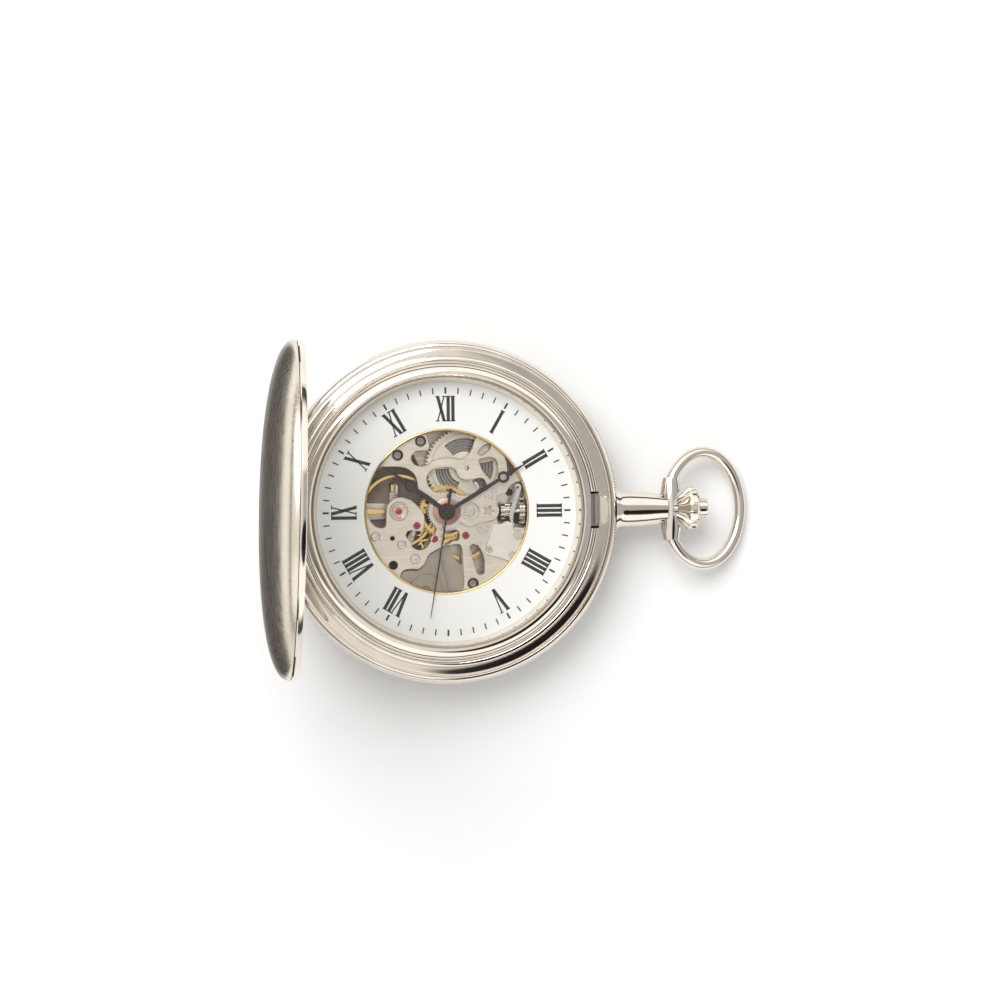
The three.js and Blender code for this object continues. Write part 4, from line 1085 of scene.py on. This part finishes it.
def lyre_spring():
    low, high = PLATE_TOP - 0.06, PLATE_TOP + 0.02
    outline = rounded([polar(BALANCE, r, math.radians(a)) for r, a in (
        (0.95, 35), (0.5, 60), (0.62, 90), (0.5, 120), (0.95, 150), (0.8, 165), (0.45, 200),
        (0.62, 240), (0.9, 250), (0.95, 290), (0.6, 300), (0.45, 340), (0.8, 20))], 4)
    return flat(outline, low, high, [circle(BALANCE, 0.3, 20)], 0.015)


def pallet_fork():
    ahead = (ESCAPE - PALLET).normalized()
    side = Vector((-ahead.y, ahead.x))
    to_balance = (BALANCE - PALLET).normalized()
    across = Vector((-to_balance.y, to_balance.x))
    anchor = [PALLET + ahead * a + side * b for a, b in (
        (0.25, 1.35), (0.0, 0.6), (-0.35, 0.3), (-0.35, -0.3), (0.0, -0.6), (0.25, -1.35),
        (0.75, -1.45), (0.45, -0.5), (0.4, 0.5), (0.75, 1.45))]
    lever = [PALLET + to_balance * a + across * b for a, b in (
        (0.2, 0.22), (1.8, 0.13), (1.9, 0.3), (2.25, 0.3), (2.0, 0.08), (2.0, -0.08), (2.25, -0.3),
        (1.9, -0.3), (1.8, -0.13), (0.2, -0.22))]
    return merged(
        flat(flatten(anchor), 3.12, 3.32, bevel=0.03),
        flat(flatten(lever), 3.12, 3.32, bevel=0.02),
        pin(PALLET, 0.15, 2.73, 4.97))


def escape_wheel():
    outline = []
    teeth = 20
    for i in range(teeth):
        a = 2 * math.pi * i / teeth
        outline += [polar(ESCAPE, r, a + ahead) for r, ahead in (
            (2.3, 0.07), (2.28, 0.095), (1.86, 0.13), (1.86, 0.27))]
    body = flat(outline, 3.15, 3.3, spoke_windows(ESCAPE, 0.6, 1.6, 4, 0.3, 10), 0.02)
    return merged(body, pin(ESCAPE, 0.38, 2.5, 2.9), pin(ESCAPE, 0.18, 1.58, 4.97))


def build_escapement():
    piece("balance_rim_and_arm", balance_wheel(), "gilt", "balance", ["balance_wheel"])
    piece("balance_hairspring", coil(BALANCE, 0.5, 2.1, 6, 0.05, 2.55, 2.75), "spring_steel", "case",
          ["hairspring"])
    cock = merged(
        flat(band(CENTRE, 12.6, 15.2, 160, 200, 30), 1.05, 1.55, bevel=0.05),
        flat([(-13.0, -1.1), (-5.4, -0.9), (-5.0, 0.12), (-5.4, 1.2), (-13.0, 1.35)], 1.05, 1.55,
             bevel=0.05),
        flat([(-7.45, 1.0), (-6.3, 1.0), (-6.3, 3.9), (-7.45, 3.9)], 1.1, 1.52, bevel=0.05),
        flat(band(CENTRE, 13.0, 15.2, 164, 196, 20), 1.5, PLATE_LOW - 0.03, bevel=0.03))
    piece("balance_cock_arm", cock, "nickel_plate", "case", ["balance_cock"])
    stud = flat([(-7.4, 2.7), (-6.95, 2.7), (-6.95, 3.85), (-7.4, 3.85)], 1.5, 3.45, bevel=0.08)
    piece("hairspring_stud", stud, "gilt", "case")
    holder = flat([(-6.75, 2.4), (-6.4, 2.3), (-6.3, 3.7), (-6.7, 3.8)], 1.5, 3.4, bevel=0.08)
    piece("hairspring_stud_holder", holder, "steel", "case")
    foot = (-6.0, -6.9)
    arm = rounded([(-4.4, -1.6), (-3.7, -1.6), (-3.6, -2.1), (-5.2, -6.3), (-5.3, -7.2), (-6.2, -7.6),
                   (-6.8, -7.0), (-6.5, -6.2), (-4.5, -2.2)])
    piece("pallet_cock_arm", merged(flat(arm, 2.3, 2.7, bevel=0.04), pin(foot, 0.8, 2.65, 4.97)),
          "nickel_plate", "case", ["pallet_cock"])
    piece("pallet_fork_lever", pallet_fork(), "steel", "pallet_fork", ["pallet_fork"])
    piece("escape_wheel_toothed", escape_wheel(), "gilt", "escape_wheel", ["escape_wheel"])
    piece("shock_setting_rim", shock_setting(), "steel", "case")
    piece("shock_lyre_spring", lyre_spring(), "gilt", "case")
    stone = turned([(0, 5.95), (0.46, 5.95), (0.46, 6.2), (0.36, 6.3), (0.15, 6.34), (0, 6.34)], 40,
                   BALANCE)
    piece("shock_jewel_stone", stone, "ruby", "case", ["shock_jewel"])


# ------------------------------------------------------------------ power and train
def wheel(at, teeth, tip, root, low, high, windows, bevel=0.02):
    return flat(toothed(at, teeth, tip, root), low, high, windows, bevel)


def pinion(at, teeth, tip, root, low, high):
    return flat(toothed(at, teeth, tip, root, flank=0.3), low, high, bevel=0.02)


def barrel():
    """Toothed face with windows on the mainspring, over the drum."""
    face = flat(toothed(BARREL, 60, 5.5, 5.12, flank=0.2), 4.1, 4.5, [
        band(BARREL, 2.2, 3.95, 62, 132, 30), band(BARREL, 2.2, 3.95, 184, 250, 30),
        band(BARREL, 2.2, 3.95, -60, 12, 30), circle(BARREL, 0.85, 32)], 0.04)
    rim_line = ring(BARREL, 4.45, 4.65, 4.45, 4.56, 0.03, 96)
    drum = turned([(4.95, 3.05), (5.15, 3.05), (5.15, 4.15), (4.95, 4.15)], 96, BARREL)
    return merged(face, rim_line, drum)


def spring_floor():
    """The barrel's closed underside, seen between the coils."""
    return turned([(1.2, 3.0), (4.95, 3.0), (4.95, 3.08), (1.2, 3.08)], 72, BARREL)


def build_power():
    piece("barrel_drum_and_teeth", barrel(), "nickel_plate", "barrel", ["barrel"])
    piece("barrel_floor", spring_floor(), "spring_steel", "barrel")
    piece("mainspring_coils", coil(BARREL, 1.5, 4.75, 8, 0.17, 3.2, 4.0), "spring_steel", "barrel",
          ["mainspring"])
    arbor = merged(pin(BARREL, 0.75, 2.05, 4.7), pin(BARREL, 1.2, 3.2, 4.2), pin(BARREL, 0.28, 4.6, 6.1))
    piece("barrel_arbor_turned", arbor, "steel", "ratchet", ["barrel_arbor"])
    hook = flat(band((3.3, 3.0), 0.9, 1.35, -40, 60, 16), 4.6, 5.9, bevel=0.04)
    piece("barrel_brace", hook, "steel", "case")


def build_train():
    centre = merged(
        wheel(CENTRE, 60, 3.75, 3.45, 4.68, 4.86, spoke_windows(CENTRE, 1.15, 3.05, 5, 0.5, 18)),
        pinion(CENTRE, 10, 1.05, 0.75, 4.05, 4.7), ring(CENTRE, 0.3, 0.5, 4.0, 7.62, 0.02, 40))
    piece("centre_wheel_gilt", centre, "gilt", "minutes", ["centre_wheel"])
    third = merged(
        wheel(THIRD, 64, 3.75, 3.45, 3.55, 3.72, spoke_windows(THIRD, 0.9, 3.1, 4, 0.45, 20)),
        pinion(THIRD, 8, 0.56, 0.36, 4.4, 4.6), pin(THIRD, 0.22, 1.58, 4.9))
    piece("third_wheel_gilt", third, "gilt", "third_wheel", ["third_wheel"])
    fourth = merged(
        wheel(CENTRE, 60, 3.75, 3.5, 2.6, 2.77, spoke_windows(CENTRE, 0.9, 3.15, 4, 0.45, 45)),
        pinion(CENTRE, 8, 0.5, 0.32, 3.4, 3.9), pin(CENTRE, 0.2, 1.58, 7.9))
    piece("fourth_wheel_gilt", fourth, "gilt", "seconds", ["fourth_wheel"])


def build_motion_work():
    cannon = flat(toothed(CENTRE, 12, 0.86, 0.62), 5.9, 6.2, [circle(CENTRE, 0.53, 24)], 0.02)
    piece("cannon_pinion_cut", cannon, "steel", "minutes", ["cannon_pinion"])
    minute = merged(
        wheel(MINUTE_WHEEL, 36, 2.46, 2.2, 5.95, 6.12, [circle(MINUTE_WHEEL, 1.3, 32)]),
        flat(circle(MINUTE_WHEEL, 1.34, 40), 5.98, 6.1, bevel=0.02),
        pinion(MINUTE_WHEEL, 10, 0.74, 0.45, 6.1, 6.6), pin(MINUTE_WHEEL, 0.16, 6.0, 6.66))
    piece("minute_wheel_cut", minute, "steel", "minute_wheel", ["minute_wheel"])
    hour = merged(
        wheel(CENTRE, 40, 2.66, 2.4, 6.26, 6.44, [circle(CENTRE, 0.6, 32)]),
        ring(CENTRE, 0.58, 0.95, 6.4, 7.32, 0.02, 48), ring(CENTRE, 1.95, 2.15, 6.4, 6.47, 0.02, 72))
    piece("hour_wheel_cut", hour, "steel", "hours", ["hour_wheel"])
    washer = turned([(1.0, 6.5), (1.87, 6.5), (1.87, 6.56), (1.84, 6.58), (1.0, 6.58)], 64)
    piece("hour_washer_copper", washer, "copper", "case", ["hour_washer"])
    low, high = 6.55, 6.75
    outline = (arc(MINUTE_WHEEL, 1.95, 115, 150, 6) + arc(CENTRE, 2.0, 30, -30, 14)
               + arc(MINUTE_WHEEL, 1.95, 210, 290, 14) + arc((5.75, 0.05), 1.4, -60, 40, 14)
               + arc((5.84, 2.1), 1.0, -20, 140, 16))
    star = []
    for i in range(40):
        angle = 2 * math.pi * i / 40
        star.append(polar((5.73, 0.05), 0.5 + 0.2 * math.cos(5 * angle), angle))
    bridge = flat(outline, low, high, [circle(MINUTE_WHEEL, 1.25, 48), star], 0.04)
    piece("motion_work_bridge_plate", merged(bridge, pin((5.84, 2.23), 0.5, 6.22, 6.6)),
          "nickel_plate", "case", ["motion_work_bridge"])
    piece("motion_bridge_screw_slotted", screw((5.84, 2.23), 0.58, 6.78, 0.16, 0), "steel", "case",
          ["motion_bridge_screw"])
    setting = merged(
        flat(toothed(SETTING_WHEEL, 14, 0.95, 0.72), 6.22, 6.4, [circle(SETTING_WHEEL, 0.2, 16)], 0.02),
        ring(SETTING_WHEEL, 0.2, 0.42, 6.38, 6.48, 0.02, 32))
    piece("setting_wheel_small", setting, "steel", "case")


# ------------------------------------------------------------------ winding work
SETTING_PLATE = [
    (6.35, -1.75), (7.3, -1.75), (8.3, -1.4), (9.1, -2.1), (9.3, -2.7), (10.6, -2.6), (11.0, -3.6),
    (10.6, -5.4), (9.6, -6.9), (8.8, -7.0), (7.2, -6.4), (5.7, -6.0), (5.25, -5.5), (5.5, -4.3),
    (5.9, -3.2),
]
LEVER = [
    (9.9, 3.75), (10.25, 3.4), (10.2, 2.7), (9.6, 0.9), (9.1, -1.0), (9.25, -1.9), (9.05, -2.05),
    (8.75, -1.4), (8.55, -0.3), (9.2, 1.6), (9.5, 2.9), (9.35, 3.45),
]


def stem():
    start, stop = [corner.x for corner in span("stem")]
    return turned([
        (0, start), (0.35, start), (0.35, 11.5), (0.5, 11.6), (0.5, stop), (0, stop)],
        40, matrix=ALONG_X)


def release_collar():
    start, stop = [corner.x for corner in span("release_collar")]
    return turned([(0.6, start), (1.3, start), (1.3, stop), (0.6, stop)], 48, matrix=ALONG_X)


def click_lever():
    """The click: a round eye and a nose that rests on the ratchet's teeth."""
    low, high = span("click")
    eye = polar(BARREL, 5.62, math.radians(75))
    nose = polar(BARREL, 4.74, math.radians(91))
    along = (Vector(nose) - Vector(eye)).normalized()
    side = Vector((-along.y, along.x)) * 0.21
    arm = [Vector(eye) - side, Vector(nose) - side, Vector(nose) + side, Vector(eye) + side]
    return merged(
        flat(circle(eye, 0.5, 32), low.z, high.z, bevel=0.03),
        flat([tuple(point) for point in arm], low.z + 0.02, high.z - 0.02, bevel=0.03))


def crown_gear(teeth, tip, root, x0, x1, bore=0.45):
    """A toothed sleeve round the stem."""
    mesh = flat(toothed(CENTRE, teeth, tip, root, flank=0.3), x0, x1, [circle(CENTRE, bore, 24)], 0.03)
    mesh.transform(ALONG_X)
    return mesh


def build_winding():
    piece("winding_stem", stem(), "steel", "crown", ["stem"])
    piece("release_collar_ring", release_collar(), "steel", "push", ["release_collar"])
    piece("winding_pinion_toothed", crown_gear(20, 1.72, 1.42, 10.0, 10.8), "steel", "winding",
          ["winding_pinion"])
    clutch = merged(
        crown_gear(14, 1.15, 0.85, 7.5, 8.1), crown_gear(14, 0.95, 0.85, 8.1, 8.8),
        crown_gear(14, 1.15, 0.85, 8.8, 9.3))
    piece("sliding_clutch_toothed", clutch, "steel", "winding", ["sliding_clutch"])
    low = span("setting_lever_plate")[0].z
    plate = flat(rounded(SETTING_PLATE, 4), low, low + 0.25, [circle((5.95, -5.3), 0.3, 20)], 0.05)
    piece("setting_plate_shaped", plate, SETTING_FINISH, "case", ["setting_lever_plate"])
    lever = flat(rounded(LEVER, 4), low + 0.02, low + 0.25, [circle((9.75, 3.2), 0.18, 16)], 0.04)
    piece("setting_lever_shaped", lever, "steel", "case", ["setting_lever"])
    piece("setting_plate_screw_one", screw((9.74, -3.3), 0.66, low + 0.27, 0.18, 40), "steel", "case",
          ["setting_plate_screw_1"])
    piece("setting_plate_screw_two", screw((8.9, -6.0), 0.5, low + 0.27, 0.18, -30), "steel", "case",
          ["setting_plate_screw_2"])
    boss = ring((5.8, -5.2), 0.22, 0.5, low + 0.24, low + 0.4, 0.04, 40)
    piece("setting_plate_boss", boss, "steel", "case")
    crown_wheel = wheel(CROWN_WHEEL, 24, 3.0, 2.6, 1.7, 2.0, [circle(CROWN_WHEEL, 0.5, 24)])
    upstand = ring(CROWN_WHEEL, 2.2, 2.6, 1.95, 2.9, 0.03, 48)
    piece("crown_wheel_cut", merged(crown_wheel, upstand), "steel", "crown_wheel", ["crown_wheel"])
    ratchet = wheel(BARREL, 36, 4.465, 4.09, 1.7, 2.0, [circle(BARREL, 0.62, 24)])
    piece("ratchet_wheel_cut", ratchet, "steel", "ratchet", ["ratchet_wheel"])
    piece("click_lever", click_lever(), "steel", "click", ["click"])
    for number, turn in (("1", 20), ("2", -50)):
        node = "case_screw_" + number
        low, high = span(node)
        middle = centre_of(node)
        head = screw((middle.x, middle.y), 0.9, low.z, high.z - low.z, turn)
        piece(node + "_slotted", head, "steel", "case", [node])


# ------------------------------------------------------------------ stage, light and camera
def build_floor():
    """A very large white table top."""
    mesh = prism([(-6000, -6000), (6000, -6000), (6000, 6000), (-6000, 6000)], -20.0, -0.02)
    mesh.transform(Matrix.Scale(MM, 4))
    look = finished("floor_white", (0.82, 0.82, 0.82), 0.7, 0.02, shade=0.995, metallic=0.0)
    mesh.materials.append(look.material)
    floor = bpy.data.objects.new("floor", mesh)
    bpy.context.scene.collection.objects.link(floor)


def sky():
    """A studio tent: two bright sides at twelve and six o'clock, a greyer right half, a black
    flag towards the lower right and a dark low band, so polished metal has something to show."""
    world = bpy.data.worlds.new("tent")
    world.use_nodes = True
    tree = world.node_tree
    link = tree.links.new
    place = tree.nodes.new("ShaderNodeTexCoord")
    parts = tree.nodes.new("ShaderNodeSeparateXYZ")
    link(place.outputs["Generated"], parts.inputs["Vector"])

    def math_node(operation, first, second):
        made = tree.nodes.new("ShaderNodeMath")
        made.operation = operation
        for slot, value in zip(made.inputs, (first, second)):
            if isinstance(value, (int, float)):
                slot.default_value = value
            else:
                link(value, slot)
        return made.outputs["Value"]

    def step(source, start, stop, low, high):
        made = tree.nodes.new("ShaderNodeMapRange")
        made.interpolation_type = "SMOOTHSTEP"
        for name, value in (("From Min", start), ("From Max", stop), ("To Min", low), ("To Max", high)):
            made.inputs[name].default_value = value
        link(source, made.inputs["Value"])
        return made.outputs["Result"]

    def towards(direction):
        made = tree.nodes.new("ShaderNodeVectorMath")
        made.operation = "DOT_PRODUCT"
        made.inputs[1].default_value = Vector(direction).normalized()
        link(place.outputs["Generated"], made.inputs[0])
        return made.outputs["Value"]

    left_to_right = step(parts.outputs["X"], 0.08, 0.2, 0.9, 0.5)
    sideways = math_node("ABSOLUTE", parts.outputs["Y"], 0)
    sides = step(sideways, 0.3, 0.5, 0.0, 1.0)
    level = math_node("MAXIMUM", left_to_right, math_node("MULTIPLY", sides, 1.25))
    flag = step(towards((0.3, -0.36, 0.883)), 0.955, 0.977, 1.0, 0.03)
    low_band = step(parts.outputs["Z"], 0.12, 0.3, 0.06, 1.0)
    level = math_node("MULTIPLY", math_node("MULTIPLY", level, flag), low_band)
    background = tree.nodes["Background"]
    background.inputs["Color"].default_value = (1.0, 0.985, 0.965, 1)
    link(level, background.inputs["Strength"])
    bpy.context.scene.world = world


TARGET = Vector((7.17, 1.5, 8.0)) * MM
CAMERA_DISTANCE = 0.5
CAMERA_LENS = 132.6
CAMERA_TURN = math.radians(-0.74)


def soft_box(name, direction, distance, size, power):
    lamp = bpy.data.lights.new(name, "AREA")
    lamp.shape = "DISK"
    lamp.size = size
    lamp.energy = power
    made = bpy.data.objects.new(name, lamp)
    made.location = TARGET + Vector(direction).normalized() * distance
    made.rotation_euler = Vector(direction).to_track_quat("Z", "Y").to_euler()
    bpy.context.scene.collection.objects.link(made)


def cover_flag():
    """A black card on the table beside the cover, seen only in the metal."""
    mesh = prism([(-76, -80), (-30, -80), (-30, 80), (-76, 80)], 0.2, 0.6)
    mesh.transform(Matrix.Scale(MM, 4))
    look = finished("flag_black", (0.012, 0.01, 0.01), 0.8, 0.2, metallic=0.0)
    mesh.materials.append(look.material)
    flag = bpy.data.objects.new("flag", mesh)
    flag.visible_camera = False
    flag.visible_diffuse = False
    flag.visible_shadow = False
    flag.visible_transmission = False
    bpy.context.scene.collection.objects.link(flag)


def build_camera():
    """From nearly straight above, leaning a little to the left."""
    towards = Vector((-0.098, 0.004, 0.995)).normalized()
    right = Vector((math.cos(CAMERA_TURN), math.sin(CAMERA_TURN), 0))
    right = (right - towards * right.dot(towards)).normalized()
    up = towards.cross(right)
    camera = bpy.data.cameras.new("camera")
    camera.lens = CAMERA_LENS
    camera.sensor_width = 36
    camera.clip_start = 0.01
    camera.clip_end = 50
    holder = bpy.data.objects.new("camera", camera)
    axes = Matrix((right, up, towards)).transposed().to_4x4()
    holder.matrix_world = Matrix.Translation(TARGET + towards * CAMERA_DISTANCE) @ axes
    bpy.context.scene.collection.objects.link(holder)
    bpy.context.scene.camera = holder


build_case()
build_cover()
build_pendant()
build_dial()
build_hands()
build_plates()
build_escapement()
build_power()
build_train()
build_motion_work()
build_winding()
build_floor()
sky()
soft_box("key", (-0.4, 0.64, 1.0), 0.9, 0.7, 5.6)
cover_flag()
build_camera()
bpy.context.scene.view_settings.view_transform = "Standard"
